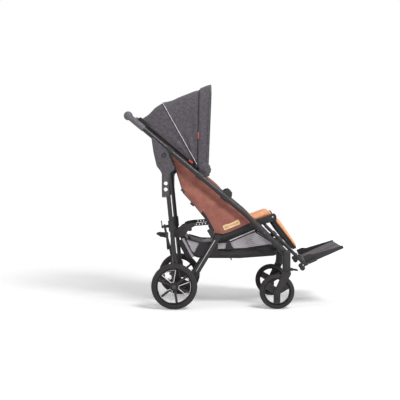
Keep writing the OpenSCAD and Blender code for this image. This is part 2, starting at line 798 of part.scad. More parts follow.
module side_panel(s) color(panel_brown) side(s) flat(panel_y, panel_y + panel_t) polygon([
    leg_hinge + [36, 2], leg_hinge + [62, -81], [45, 629], [105, 563], [165, 489], [209, 410],
    [264, 411], rail_at(300), rail_at(405), [444, 482],
    handle_end + 770 * dir(-push_slope) - 22 * normal(-push_slope)]);

module seat_pad() color(seat_orange) middle() along(seat_rear, seat_slope)
    pad(seat_len, 2 * (rail_y - rail_d / 2 - soft_gap), 16, 16, 0.02, [0.3, 0.5, 0.7]);

module back_pad() color(seat_orange) middle() along(back_base + back_len * dir(180 - back_slope), -back_slope)
    pad(back_len, 2 * (panel_y - soft_gap), 14, 16, 0.03, [0.27, 0.5, 0.73]);

module calf_pad() color(seat_orange) middle() along(seat_front + soft_gap * dir(seat_slope), -55)
    pad(calf_len, 300, 10, 9, 0.03, [0.34, 0.66]);

module basket() color(mesh_grey) middle() {
    w = basket_w / 2;
    tab_y = rail_y - rail_d / 2 - soft_gap;
    tab_t = 2;
    hem_back = [50, 383];
    floor_back = [92, 290];
    inner_back = floor_back + basket_t * [0.7, 0.87];
    difference() {
        flat(-w, w) polygon([hem_back, floor_back, [187, 269], [357, 269], [549, 294], [560, 345], [439, 420],
            [302, 360], [228, 365]]);
        flat(basket_t - w, w - basket_t) polygon([inner_back + 1.4 * (hem_back - floor_back), inner_back,
            [188, 269 + basket_t], [357, 269 + basket_t], [549 - basket_t, 296], [560 - basket_t, 346],
            [540, 420]]);
    }
    // Webbing tabs that hang the basket on the seat rails
    for (m = [0, 1]) mirror([0, m, 0]) {
        flat(tab_y - tab_t, tab_y) polygon([[418, 400], [438, 408], [442, 478], [422, 472]]);
        flat(w - basket_t, tab_y) polygon([[418, 400], [438, 408], [438, 412], [418, 404]]);
    }
}

module rear_flap() color(canopy_grey) middle() {
    cloth = 3;
    y = tube_y + leg_d / 2 + cheek_gap + cheek_t + head_t + soft_gap;
    for (m = [0, 1]) mirror([0, m, 0]) {
        flat(y, y + cloth) polygon([[-125, 932], [-109, 836], [-95, 776], [-73, 749], [-73, 604], [-38, 604],
            [-38, 735], [6, 754], [30, 830], [-70, 905]]);
        for (z = [681, 646]) cross([-55, z], y + cloth, y + cloth + 3, 18);
    }
}

// Canopy: panels turned about the pivot, the next one stepping over the last

// Outline of the hood, drawn in by an inset with its corners about the same centres
module hood_outline(outer_r, outer_w, inset = 0) {
    r = outer_r - inset;
    w = outer_w - inset;
    c = hood_corner - inset;
    translate([0, -w]) square([r - c, 2 * w]);
    translate([0, c - w]) square([r, 2 * (w - c)]);
    for (y = [c - w, w - c]) translate([r - c, y]) circle(c);
}

module hood_panel(r, w, from, to) {
    translate([hood_pivot[0], 0, hood_pivot[1]]) rotate([90, 0, 0]) rotate(from)
        rotate_extrude(angle = to - from) difference() {
            hood_outline(r, w);
            hood_outline(r, w, hood_t);
            translate([-1, -w - 1]) square([hood_hub + 1, 2 * w + 2]);
        }
}

module canopy_rear() color(canopy_grey) middle()
    hood_panel(hood_r, rear_w, mid_hood_a, rear_hood_a);

module canopy_mid() color(canopy_grey) middle()
    hood_panel(hood_r + hood_step, mid_w, zip_a, mid_hood_a);

// Thin slice of the hood's outline at angle a
module hood_slice(r, w, a, inset = 0) translate([hood_pivot[0], 0, hood_pivot[1]]) rotate([90, 0, 0]) rotate(a)
    rotate([90, 0, 0]) linear_extrude(0.2) hood_outline(r, w, inset, $fn = 32);

// The visor flares from the zip line to its front edge; its inside is cut a little past both edges
module canopy_visor() color(canopy_grey) middle() difference() {
    r = hood_r + 2 * hood_step;
    over = 0.3;
    hull() {
        hood_slice(r, visor_w, zip_a);
        hood_slice(r + visor_reach, visor_w, front_hood_a);
    }
    hull() {
        hood_slice(r - over * flare, visor_w, zip_a + over, hood_t);
        hood_slice(r + visor_reach + over * flare, visor_w, front_hood_a - over, hood_t);
    }
    cross(hood_pivot, -visor_w - 1, visor_w + 1, 2 * hood_hub);
}

// Bow under the panel of size r and w, in the plane through the pivot at angle a
module bow(r, w, inset, a) translate([hood_pivot[0], 0, hood_pivot[1]]) rotate([0, -a, 0]) {
    c = hood_corner - inset;
    top = r - inset;
    arm = w - inset;
    for (m = [0, 1]) mirror([0, m, 0]) {
        difference() {
            union() {
                translate([0, arm, 0]) rotate([0, 90, 0]) cylinder(d = bow_d, h = top - c);
                translate([top - c, arm - c, 0]) rotate_extrude(angle = 90) translate([c, 0]) circle(d = bow_d);
                translate([0, arm + bow_d / 2 - 1, 0]) rotate([90, 0, 0]) cylinder(d = 20, h = bow_d - 2);
            }
            translate([0, arm + 20, 0]) rotate([90, 0, 0]) cylinder(d = pin_d + 2 * run_gap, h = 40);
        }
    }
    translate([top, c - arm, 0]) rotate([-90, 0, 0]) cylinder(d = bow_d, h = 2 * (arm - c));
}

module mid_bow() color(black_metal) middle() bow(hood_r, rear_w, mid_inset, mid_hood_a);

module front_bow() color(black_metal) middle()
    bow(hood_r + 2 * hood_step + visor_reach, visor_w, front_inset, front_hood_a);

// Nodes

sides = [["right", -1], ["left", 1]];
for (e = sides) {
    n = e[0];
    s = e[1];
    main_tube(s);
    grip(s);
    hinge_block(s);
    frame_clamps(s);
    accessory_clamp(s);
    caster_housing(s);
    swivel_lock(s);
    caster_fork(s);
    front_rim(s);
    front_tyre(s);
    rear_leg(s);
    rear_housing(s);
    rear_axle_shaft(s);
    rear_rim(s);
    rear_tyre(s);
    brake_pedal(s);
    seat_rail(s);
    strut(s);
    footrest_tube(s);
    footplate(s);
    leg_sleeve(s);
    back_stay(s);
    side_panel(s);
}
x_bar_front();
x_bar_rear();
fold_pedal();
transport_hook();
seat_pad();
back_pad();
calf_pad();
basket();
rear_flap();
canopy_rear();
canopy_mid();
canopy_visor();
mid_bow();
front_bow();
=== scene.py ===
"""Special needs buggy with an umbrella fold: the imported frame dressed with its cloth, pads, trims and finishes."""

from itertools import accumulate
from math import asin, atan2, cos, dist, exp, hypot, pi, radians, sin, tan

import bpy
from mathutils import Matrix, Vector


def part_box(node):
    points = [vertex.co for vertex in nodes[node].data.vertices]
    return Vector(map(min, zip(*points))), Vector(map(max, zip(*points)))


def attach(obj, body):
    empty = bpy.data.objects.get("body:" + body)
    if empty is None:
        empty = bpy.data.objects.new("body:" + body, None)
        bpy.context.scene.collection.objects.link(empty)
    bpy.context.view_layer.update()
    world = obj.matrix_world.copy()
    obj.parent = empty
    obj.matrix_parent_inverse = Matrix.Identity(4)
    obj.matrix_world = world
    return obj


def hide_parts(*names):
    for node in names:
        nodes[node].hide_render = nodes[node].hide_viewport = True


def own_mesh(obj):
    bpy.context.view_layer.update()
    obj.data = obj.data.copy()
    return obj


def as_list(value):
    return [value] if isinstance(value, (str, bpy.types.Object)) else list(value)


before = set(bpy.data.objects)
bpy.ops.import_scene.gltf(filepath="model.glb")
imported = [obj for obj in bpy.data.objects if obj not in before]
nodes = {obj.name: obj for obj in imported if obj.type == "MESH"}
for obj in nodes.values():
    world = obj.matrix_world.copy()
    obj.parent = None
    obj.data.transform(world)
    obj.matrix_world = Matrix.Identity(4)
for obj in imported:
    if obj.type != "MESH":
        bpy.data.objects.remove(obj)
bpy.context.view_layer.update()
scene = bpy.context.scene
MM = 0.001
SIDES = (("right", -1), ("left", 1))

# Side-plane points are given in millimetres from the rear axle, forwards and up
axle_low, axle_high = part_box("rear_axle_right")
AXLE_X = (axle_low[0] + axle_high[0]) / 2


def place(x, y, z):
    return Vector((AXLE_X + x * MM, y * MM, z * MM))


def heading(angle):
    return Vector((cos(radians(angle)), 0, sin(radians(angle))))


# The lines of the frame that the cloth follows
HANDLE_END = (-254, 1050)
PUSH_SLOPE = -39.9
PUSH_LENGTH = 830
TUBE_BEND = (HANDLE_END[0] + PUSH_LENGTH * cos(radians(PUSH_SLOPE)),
             HANDLE_END[1] + PUSH_LENGTH * sin(radians(PUSH_SLOPE)))
FRONT_SLOPE = -44.5
HOOD_PIVOT = (154, 743)
LEG_HINGE = (-55.9, 834.8)
KNEE = (236, 385)
RAIL_FRONT = (541, 508)
RAIL_Y = 179.9


def on_rail(x):
    """Height of the seat rail's line."""
    return KNEE[1] + (x - KNEE[0]) * (RAIL_FRONT[1] - KNEE[1]) / (RAIL_FRONT[0] - KNEE[0])


def on_push_tube(x):
    """Height of the main tube's upper, straight part."""
    return HANDLE_END[1] + (x - HANDLE_END[0]) * tan(radians(PUSH_SLOPE))


def set_up(thing, **settings):
    """Sets several properties of one thing."""
    for name, value in settings.items():
        setattr(thing, name, value)
    return thing


# Materials


def linear(code):
    """An sRGB hex colour as linear RGBA."""
    parts = [int(code[i:i + 2], 16) / 255 for i in (1, 3, 5)]
    return [p / 12.92 if p <= 0.04045 else ((p + 0.055) / 1.055) ** 2.4 for p in parts] + [1]


def per_mm(size):
    """Scale of a pattern on metres whose features are size millimetres apart."""
    return 1000 / size


def add_node(near, kind, inputs=None, **settings):
    """Adds a shader node to the tree of a node or output; an input is a number, a colour or another node's output."""
    tree = near.id_data
    made = set_up(tree.nodes.new("ShaderNode" + kind), **settings)
    for key, value in (inputs or {}).items():
        if isinstance(value, bpy.types.NodeSocket):
            tree.links.new(value, made.inputs[key])
        else:
            made.inputs[key].default_value = value
    return made


def feed(output, node, key):
    node.id_data.links.new(output, node.inputs[key])


def coordinates(shader, kind):
    return add_node(shader, "TexCoord").outputs[kind]


def noise(spot, scale, detail):
    return add_node(spot, "TexNoise", {"Vector": spot, "Scale": scale, "Detail": detail}).outputs["Fac"]


def combined(operation, first, second):
    """Two outputs through one Math node."""
    return add_node(first, "Math", {0: first, 1: second}, operation=operation).outputs[0]


def ranged(value, low, high, new_low=0.0, new_high=1.0):
    """An output from low to high, spread over a new range and held at its ends."""
    return add_node(value, "MapRange", {"Value": value, "From Min": low, "From Max": high, "To Min": new_low,
                                        "To Max": new_high}).outputs["Result"]


def threads(shader, gap):
    """Warp and weft, gap millimetres apart, on the piece's own UV map in metres."""
    # At scale 1 a wave repeats every 2 pi / 20
    inputs = {"Vector": coordinates(shader, "UV"), "Scale": per_mm(gap) * 2 * pi / 20}
    return combined("MAXIMUM", *(add_node(shader, "TexWave", inputs, bands_direction=axis).outputs["Fac"]
                                 for axis in ("X", "Y")))


def start_material(name, **values):
    """A new material with its shader's own sockets set; returns the material and the shader."""
    material = bpy.data.materials.new(name)
    material.use_nodes = True
    shader = material.node_tree.nodes["Principled BSDF"]
    for key, value in values.items():
        shader.inputs[key.replace("_", " ")].default_value = value
    return material, shader


def two_tone(shader, factor, dark, light):
    """Base colour that runs from dark to light with the factor."""
    mixed = add_node(shader, "MixRGB", {"Fac": factor, "Color1": linear(dark), "Color2": linear(light)})
    feed(mixed.outputs["Color"], shader, "Base Color")


def raised(shader, height, depth_mm, strength):
    """Bump of a real depth from a height output."""
    bump = add_node(shader, "Bump", {"Height": height, "Distance": depth_mm * MM, "Strength": strength})
    feed(bump.outputs["Normal"], shader, "Normal")


def grained(name, dark, light, grain_mm, cloud_mm, depth_mm, roughness, ior=1.5, specular=0.5, metallic=0.0):
    """Moulded or coated surface: a fine grain that catches light, and a slow drift of tone."""
    material, shader = start_material(name, Roughness=roughness, IOR=ior, Specular_IOR_Level=specular,
                                      Metallic=metallic)
    spot = coordinates(shader, "Object")
    grain = noise(spot, per_mm(grain_mm), 3.0)
    two_tone(shader, noise(spot, per_mm(cloud_mm), 2.0), dark, light)
    feed(ranged(grain, 0.0, 1.0, roughness - 0.08, roughness + 0.08), shader, "Roughness")
    raised(shader, grain, depth_mm, 0.35)
    return material


def woven(name, dark, light, thread_mm, cloud_mm, roughness, sheen):
    """Woven cloth: warp and weft threads and a melange of tones."""
    material, shader = start_material(name, Roughness=roughness, Sheen_Weight=sheen, Sheen_Roughness=0.6)
    weave = threads(shader, thread_mm)
    streak = noise(coordinates(shader, "Object"), per_mm(cloud_mm), 4.0)
    two_tone(shader, ranged(combined("MULTIPLY", weave, streak), 0.15, 0.65), dark, light)
    raised(shader, weave, 0.5, 0.4)
    return material


# Powder coat baked on aluminium tube: satin black with the faint orange peel of melted powder
powder_coat = grained("powder_coat_black", "#201e20", "#2d2a2c", 2.5, 70, 0.12, 0.38, specular=0.4)
# Glass-filled nylon, moulded: spark-eroded grain, a little greyer than the tubes
moulded_nylon = grained("moulded_nylon_black", "#211f21", "#302d2f", 1.6, 45, 0.15, 0.52, ior=1.53, specular=0.35)
# Solid polyurethane tyre: matt, with a rubbed bloom
tyre_rubber = grained("tyre_polyurethane", "#262425", "#373435", 3.0, 30, 0.25, 0.75, specular=0.3)
# Closed-cell foam of the push grips: soft, greyer where hands rub it
grip_foam = grained("grip_foam", "#4d4a4e", "#7a777c", 2.2, 16, 0.3, 0.66, ior=1.48, specular=0.3)
# Black zinc on the axles and rivets
black_zinc = grained("black_zinc", "#3c3b3d", "#5a595b", 1.2, 20, 0.05, 0.34, metallic=1.0)
# Bright turned edge of the wheel windows, and bright rivets
turned_edge = grained("turned_alloy", "#b5b3b2", "#e0dedd", 1.0, 25, 0.04, 0.34, metallic=0.6)
# Ribbed grey rubber of the footplate mats
mat_rubber = grained("mat_rubber_grey", "#545155", "#6d696d", 2.5, 40, 0.2, 0.7, specular=0.3)
# Acetal press studs, off-white and slightly glossy
stud_acetal = grained("stud_acetal_white", "#e9e7e3", "#f8f7f4", 1.5, 12, 0.03, 0.3, ior=1.48)
# Red webbing tab, and the same red faded on the zip pulls
red_nylon = grained("nylon_red", "#a93a2b", "#c9513c", 1.5, 10, 0.1, 0.5, ior=1.53)
faded_red = grained("nylon_red_faded", "#84402f", "#a3544a", 1.5, 10, 0.1, 0.55, ior=1.53)
# Tan leather-cloth of the sewn label, left plain: a light border round a darker field
label_hide = grained("label_leathercloth", "#ecca9c", "#f8deb6", 1.4, 9, 0.15, 0.6, specular=0.3)
label_field = grained("label_field", "#cd9a68", "#deb07e", 1.4, 9, 0.2, 0.62, specular=0.3)
# Pale thread of the stitching
sewing_thread = grained("sewing_thread", "#f0dcb8", "#fbecd0", 0.8, 6, 0.1, 0.6)
# Glass-bead reflective piping, pale grey by day; the same pale grey paints the highlight stripe on the struts
reflective_tape_and_highlight = grained("reflective_piping", "#d4d3d4", "#ecebec", 0.9, 14, 0.05, 0.38)
# Canopy canvas, charcoal melange; threads are drawn 5 mm apart because the true 0.6 mm ones don't show
canopy_canvas = woven("canopy_canvas", "#3a363c", "#625d65", 5.0, 14, 0.88, 0.06)
# Brown coated cloth of the sling sides, with a soft bloom; threads drawn 4 mm apart for the same reason
sling_cloth = woven("sling_cloth_brown", "#7e4337", "#ad6d5e", 4.0, 45, 0.72, 0.12)
# Black polyester tape and lining
black_cloth = woven("black_cloth", "#191719", "#2e2b2d", 3.0, 18, 0.82, 0.05)
# Orange spacer knit: round pores about 6 mm apart over a warm cloth
seat_fabric, shader = start_material("seat_spacer_orange", Roughness=0.8, Sheen_Weight=0.3, Sheen_Roughness=0.5)
spot = coordinates(shader, "Object")
pores = add_node(shader, "TexVoronoi", {"Vector": spot, "Scale": per_mm(6), "Randomness": 0.25})
rim = ranged(pores.outputs["Distance"], 0.1, 0.45)
tone = combined("MULTIPLY", rim, noise(spot, per_mm(35), 3.0))
two_tone(shader, ranged(tone, 0.1, 0.6), "#d98650", "#f6b384")
raised(shader, rim, 0.8, 0.5)
# Grey polyester net: threads about 6 mm apart, drawn coarse so that they show, with open holes between
basket_net, shader = start_material("basket_net", Roughness=0.75, Sheen_Weight=0.1)
web = threads(shader, 6)
feed(ranged(web, 0.2, 0.45, 0.45), shader, "Alpha")
two_tone(shader, web, "#827e83", "#b4afb5")
raised(shader, web, 0.6, 0.4)

# Modelling helpers


def alone(piece):
    """Selects one piece only and makes it active."""
    bpy.ops.object.select_all(action="DESELECT")
    piece.select_set(True)
    bpy.context.view_layer.objects.active = piece


def just_made(name):
    """The object that an operator has just added, under its name."""
    piece = bpy.context.view_layer.objects.active
    piece.name = name
    return piece


def facing_out(piece):
    """Turns every face of a mesh outwards."""
    alone(piece)
    bpy.ops.object.mode_set(mode="EDIT")
    bpy.ops.mesh.select_all(action="SELECT")
    bpy.ops.mesh.normals_make_consistent(inside=False)
    bpy.ops.object.mode_set(mode="OBJECT")


def with_modifier(piece, kind, **settings):
    """Adds a modifier with its settings and applies it."""
    alone(piece)
    modifier = set_up(piece.modifiers.new(kind.lower(), kind), **settings)
    bpy.ops.object.modifier_apply(modifier=modifier.name)
    return piece


def narrows(piece, half_width):
    """Gives the piece its own copy of its mesh."""
    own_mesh(piece)


def dressed(piece, material, body, slot, half_width=None):
    """Gives a finished piece its material and its body, with its place in its mesh; slot is not used.

    A piece with a half width reaches across the buggy and gets its own copy of its mesh."""
    alone(piece)
    bpy.ops.object.transform_apply()
    bpy.ops.object.shade_smooth_by_angle(angle=radians(40))
    piece.data.materials.clear()
    piece.data.materials.append(material)
    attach(piece, body)
    if half_width:
        narrows(piece, half_width)
    return piece


def new_object(name, data):
    made = bpy.data.objects.new(name, data)
    scene.collection.objects.link(made)
    return made


def new_mesh(name, rows, faces):
    mesh = bpy.data.meshes.new(name)
    mesh.from_pydata([tuple(p) for row in rows for p in row], [], faces)
    return new_object(name, mesh)


def grid_faces(rows, closed=False):
    """Quads between rows of points; closed rows join up with their own start."""
    n = len(rows[0])
    return [(i * n + j, i * n + (j + 1) % n, (i + 1) * n + (j + 1) % n, (i + 1) * n + j)
            for i in range(len(rows) - 1) for j in range(n if closed else n - 1)]


def lay_uv(piece, where):
    """Gives a mesh its UV map; where says a vertex's place on it, in metres."""
    layer = piece.data.uv_layers.active or piece.data.uv_layers.new(name="cloth")
    for loop in piece.data.loops:
        layer.data[loop.index].uv = where(loop.vertex_index)


def distances(points):
    """How far along a line of points each one lies."""
    return list(accumulate(((q - p).length for p, q in zip(points, points[1:])), initial=0.0))


# Each sheet's cut rectangle in metres: the longest row and column, 2 % and 4 mm over for the seams
SEAM_SHARE, SEAM_EDGE = 1.02, 0.004


def cloth_rows(name, rows, thickness):
    """A closed skin of a thickness through rows of points, with a UV map in metres."""
    n = len(rows[0])
    piece = new_mesh(name, rows, grid_faces(rows))
    along, across = distances(rows[len(rows) // 2]), distances([row[n // 2] for row in rows])
    lay_uv(piece, lambda i: (along[i % n], across[i // n]))
    tuple(max(distances(line)[-1] for line in lines) * SEAM_SHARE + SEAM_EDGE
                                  for lines in (rows, zip(*rows)))
    return with_modifier(piece, "SOLIDIFY", thickness=thickness * MM, offset=0)


def declare_cloth(piece, with_pieces=()):
    """Makes a list of the trims and does nothing more; the sheet is not used."""
    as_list(with_pieces)


def loft(name, rings):
    """A closed form through rings of points, with its ends filled."""
    n = len(rings[0])
    faces = grid_faces(rings, closed=True)
    faces += [tuple(range(n - 1, -1, -1)), tuple((len(rings) - 1) * n + j for j in range(n))]
    piece = new_mesh(name, rings, faces)
    facing_out(piece)
    lay_uv(piece, lambda i: (i // n * 0.02, i % n * 0.005))
    return piece


def piping(name, points, radius, closed=False, swell=None):
    """A round edge or wire along points, a curve turned into a mesh; swell is a share of the radius per point."""
    curve = set_up(bpy.data.curves.new(name, "CURVE"), dimensions="3D", bevel_depth=radius * MM, bevel_resolution=2,
                   use_fill_caps=True)
    line = curve.splines.new("POLY")
    line.points.add(len(points) - 1)
    for spot, p in zip(line.points, points):
        spot.co = (*p, 1)
    for spot, share in zip(line.points, swell or ()):
        spot.radius = share
    line.use_cyclic_u = closed
    alone(new_object(name, curve))
    bpy.ops.object.convert(target="MESH")
    piece = bpy.context.view_layer.objects.active
    lay_uv(piece, lambda i: piece.data.vertices[i].co.xz)
    return piece


def disc(name, spot, radius, height, bevel=0.8):
    """A round button or rivet head: a cylinder across the buggy with its edges bevelled."""
    bpy.ops.mesh.primitive_cylinder_add(vertices=32, radius=radius * MM, depth=height * MM, location=spot,
                                        rotation=(pi / 2, 0, 0))
    piece = just_made(name)
    bpy.ops.object.transform_apply()
    return with_modifier(piece, "BEVEL", width=bevel * MM, segments=3, limit_method="ANGLE")


def block(name, spot, size, turn=0.0, bevel=2.0):
    """A small moulding: a cube at its size, turned in the side plane, with rounded edges."""
    bpy.ops.mesh.primitive_cube_add(size=1, location=spot, rotation=(0, -radians(turn), 0))
    piece = just_made(name)
    piece.scale = [s * MM for s in size]
    bpy.ops.object.transform_apply()
    return with_modifier(piece, "BEVEL", width=bevel * MM, segments=3)


def plate(name, outline, near, far, bevel=1.5):
    """A moulding or pressing: an outline in the side plane, extruded across the buggy and bevelled."""
    bpy.ops.mesh.primitive_circle_add(vertices=len(outline), fill_type="NGON")
    piece = just_made(name)
    for v, (x, z) in zip(piece.data.vertices, outline):
        v.co = place(x, near, z)
    alone(piece)
    bpy.ops.object.mode_set(mode="EDIT")
    bpy.ops.mesh.select_all(action="SELECT")
    bpy.ops.mesh.extrude_region_move(TRANSFORM_OT_translate={"value": (0, (far - near) * MM, 0)})
    bpy.ops.object.mode_set(mode="OBJECT")
    facing_out(piece)
    return with_modifier(piece, "BEVEL", width=bevel * MM, segments=2, limit_method="ANGLE")


def joined(name, pieces):
    """Several meshes made into one piece."""
    bpy.ops.object.select_all(action="DESELECT")
    for piece in pieces:
        piece.select_set(True)
    bpy.context.view_layer.objects.active = pieces[0]
    bpy.ops.object.join()
    pieces[0].name = name
    return pieces[0]


def soft_step(t):
    """Eases from 0 to 1."""
    t = min(1, max(0, t))
    return t * t * (3 - 2 * t)


def squared(value, power):
    """A sine or cosine pushed outwards, so that a ring of them is a rounded square."""
    return abs(value) ** power * (1 if value > 0 else -1)


def rounded_ring(count, across_power, up_power):
    """A ring of points round a rounded square, as pairs of across and up from -1 to 1."""
    turns = [2 * pi * k / count for k in range(count)]
    return [(squared(cos(a), across_power), squared(sin(a), up_power)) for a in turns]


def on_slope(spot, slope, y, along, out):
    """A point across the buggy from a side-plane spot, then along a slope and out from it."""
    return place(spot[0], y, spot[1]) + heading(slope) * (along * MM) + heading(slope + 90) * (out * MM)


def part_way(p, q, k):
    """The point a share k of the way from p to q."""
    return tuple(a + k * (b - a) for a, b in zip(p, q))


def between(table, t):
    """Value at t from a rising list of (position, value) pairs, straight between them and held beyond its ends."""
    for (a, va), (b, vb) in zip(table, table[1:]):
        if a <= t <= b:
            k = (t - a) / (b - a)
            return part_way(va, vb, k) if isinstance(va, tuple) else va + k * (vb - va)
    return table[0][1] if t < table[0][0] else table[-1][1]


# Canopy: three curved sheets from the rear hem to the visor; the rear one rides the frame, the others their bows

# Points up each side of a line of cloth, round each corner and over half the top
SIDE_STEPS, CORNER_STEPS, TOP_STEPS = 14, 8, 5


def hood_row(station, folds):
    """One line of canopy cloth: up the right side from its low end, over the top and down the left side.

    folds gives the sideways drape at a share of the height."""
    lx, lz, tx, tz, half_width, corner, dome = station
    low, top = Vector((lx, 0, lz)), Vector((tx, 0, tz))
    up = (top - low).normalized()
    height = (top - low).length
    origin = place(HOOD_PIVOT[0], 0, HOOD_PIVOT[1])
    half = [(i / SIDE_STEPS * (height - corner), -half_width + folds(i / SIDE_STEPS)) for i in range(SIDE_STEPS + 1)]
    for a in (i / CORNER_STEPS * pi / 2 for i in range(1, CORNER_STEPS + 1)):
        half.append((height - corner + corner * sin(a), -half_width + corner - corner * cos(a)))
    flat = half_width - corner
    half += [(height + dome * (1 - (k / TOP_STEPS - 1) ** 2), -flat + flat * k / TOP_STEPS)
             for k in range(1, TOP_STEPS + 1)]
    line = half + [(h, -y) for h, y in reversed(half[:-1])]
    return [origin + (low + up * h) * MM + Vector((0, y * MM, 0)) for h, y in line]


def eased(values, t):
    """Smooth curve through evenly spaced lists of numbers, at place t."""
    k = min(int(t), len(values) - 2)
    f = t - k
    before, a, b, after = values[max(0, k - 1)], values[k], values[k + 1], values[min(len(values) - 1, k + 2)]
    return [0.5 * (2 * q + (r - p) * f + (2 * p - 5 * q + 4 * r - w) * f * f + (3 * q - p - 3 * r + w) * f ** 3)
            for p, q, r, w in zip(before, a, b, after)]


def hood_sheet(name, stations, steps, drape):
    """Canopy sheet through its stations, with a little drape between its edges."""
    rows = []
    for i in range(steps + 1):
        waves = lambda share, t=i / steps: drape * sin(pi * t) * sin(pi * share) * (
            0.6 * sin(7.3 * t + 5.1 * share) + 0.4 * sin(13.7 * t - 3.3 * share + 1.2))
        rows.append(hood_row(eased(stations, i / steps * (len(stations) - 1)), waves))
    return cloth_rows(name, rows, 2.2)


def stations_of(*rows):
    """Stations of a sheet, with the reach and angle of the top turned into a point.

    A row gives the low end and the top from the pivot, the half width, the corner radius and the dome."""
    return [(lx, lz, reach * cos(radians(angle)), reach * sin(radians(angle)), *shape)
            for lx, lz, reach, angle, *shape in rows]


REAR = stations_of((-59, 53, 456, 140.0, 190, 96, 3), (-53, 58, 444, 133.4, 190.5, 96, 3),
                   (-48, 62, 448.5, 126.5, 191, 96, 3), (-45, 63, 447, 120.3, 192.8, 96, 3))
# The middle sheet sags after its rear seam, then rises to the zip
MID = stations_of((-45, 63, 449.5, 120.3, 196, 98, 3), (-43, 46, 436, 114, 197, 98, 2),
                  (-40, 30, 439, 107, 199, 99, 2), (-37, 24, 444.5, 101, 201, 100, 2),
                  (-33, 25, 453, 96, 203, 100, 3), (-29, 30, 455, 92.7, 204, 100, 4))
VISOR = stations_of((-28, 31, 466, 92, 205.5, 100, 4), (-4, 40, 480, 87.9, 207, 100, 5),
                    (22, 47, 487, 85.3, 208, 100, 5))
TUCK = stations_of((-28.6, 30.4, 456.5, 92.5, 204.4, 100, 4)) + VISOR[:1]
rear_sheet = hood_sheet("canopy_rear_sheet", REAR, 24, 3.0)
mid_sheet = hood_sheet("canopy_mid_sheet", MID, 40, 6.0)
visor_sheet = hood_sheet("canopy_visor_sheet", VISOR, 14, 2.0)
visor_tuck = hood_sheet("canopy_visor_tuck", TUCK, 2, 0.0)


def seam_line(station, lift, aside):
    """The line of a station, stood off the cloth at the top and at the sides."""
    lx, lz, tx, tz, width, *shape = station
    grow = 1 + lift / hypot(tx, tz)
    return hood_row((lx, lz, tx * grow, tz * grow, width + aside, *shape), lambda share: 0)


# The reflective piping runs on down over the gathered cloth, which stands further out there
piping_line = seam_line((-33, 42, *MID[0][2:]), 2.0, 1.4)
for i, out in enumerate((8.5, 6.6, 4.6, 2.6, 1.0)):
    piping_line[i].y -= out * MM
    piping_line[-1 - i].y += out * MM
mid_piping = piping("canopy_reflective_piping", piping_line, 1.5)
# The rear hem is rolled thick across the top and runs out flat down the sides
half_swell = [0.35] * 12 + [0.35 + 0.65 * soft_step(i / 9) for i in range(1, 10)] + [1.0] * 7
rear_hem = piping("canopy_rear_hem", seam_line(REAR[0], 5, 0), 10.5, swell=half_swell + half_swell[-2::-1])
zip_coil = piping("canopy_zip_coil", seam_line(MID[-1], 0, 0), 4.8)
visor_hem = piping("canopy_visor_hem", seam_line(VISOR[-1], -3, 0), 4.5)
for piece, material, body, half_width in (
        (rear_sheet, canopy_canvas, "main_right", 193), (rear_hem, black_cloth, "main_right", 199),
        (mid_sheet, canopy_canvas, "canopy_mid", 204), (mid_piping, reflective_tape_and_highlight, "canopy_mid", 208),
        (zip_coil, black_cloth, "canopy_mid", 209), (visor_sheet, canopy_canvas, "canopy_front", 208),
        (visor_hem, canopy_canvas, "canopy_front", 212.5), (visor_tuck, canopy_canvas, "canopy_front", 208)):
    dressed(piece, material, body, "canopy", half_width)
for sheet, node, bow, trims in ((rear_sheet, "canopy_rear", "mid_bow", [rear_hem]),
                                (mid_sheet, "canopy_mid", "mid_bow", [mid_piping, zip_coil]),
                                (visor_sheet, "canopy_visor", "front_bow", [visor_hem, visor_tuck])):
    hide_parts(node)
    declare_cloth(sheet, trims)


def side_shade_sheet(name, s):
    """Black cloth sheet in the slit between the canopy's rear edge and the push tube: painted shade that stands in for
    the shaded inside of the canopy.
    """
    low, top = REAR[0][:2], REAR[0][2:4]
    rows = []
    for i in range(17):
        t = 1.16 * i / 16
        x, z = (HOOD_PIVOT[k] + top[k] + t * (low[k] - top[k]) for k in (0, 1))
        foot = Vector((x - 26, on_push_tube(x - 26)))
        head = Vector((x + 6, z + 8))
        rows.append([place(p.x, s * (187 - 1.2 * sin(pi * j / 6) * sin(9 * t)), p.y)
                     for j, p in ((j, head.lerp(foot, j / 6)) for j in range(7))])
    return cloth_rows(name, rows, 1.6)


def gathered_corner(name, s):
    """Loose cloth bunched round the canopy pivot: a soft lobe pinched into folds."""
    bpy.ops.mesh.primitive_uv_sphere_add(segments=40, ring_count=24, radius=1)
    piece = just_made(name)
    middle = place(HOOD_PIVOT[0] + 6, s * 203, HOOD_PIVOT[1] + 14)
    for v in piece.data.vertices:
        x, y, z = v.co
        fold = 1 + 0.05 * sin(9 * x + 5 * z) + 0.04 * sin(15 * z + 2)
        v.co = middle + Vector(((x * 33 * fold - 0.35 * z * 8) * MM, y * 14 * fold * MM, (z * 46 * fold + x * 6) * MM))
    return piece


for name, s in SIDES:
    dressed(gathered_corner("canopy_gather_" + name, s), canopy_canvas, "canopy_front", "canopy", 217)
    tab = block("canopy_tab_" + name, place(88, s * 199, 800), (26, 2.5, 11), -38, 1.0)
    dressed(tab, red_nylon, "main_right", "canopy", 202)
    pull = block("zip_pull_" + name, place(128, s * 208, 942), (9, 4, 38), 2, 1.8)
    dressed(pull, faded_red, "canopy_mid", "canopy", 211)
    # Painted shade: a black sheet just inside each canopy side darkens the slit above the push tube
    lining = dressed(side_shade_sheet("canopy_shade_sheet_" + name, s), black_cloth, "main_right", "canopy", 189)
    declare_cloth(lining)

# Sling sides: brown cloth from the main tube down to the seat rail

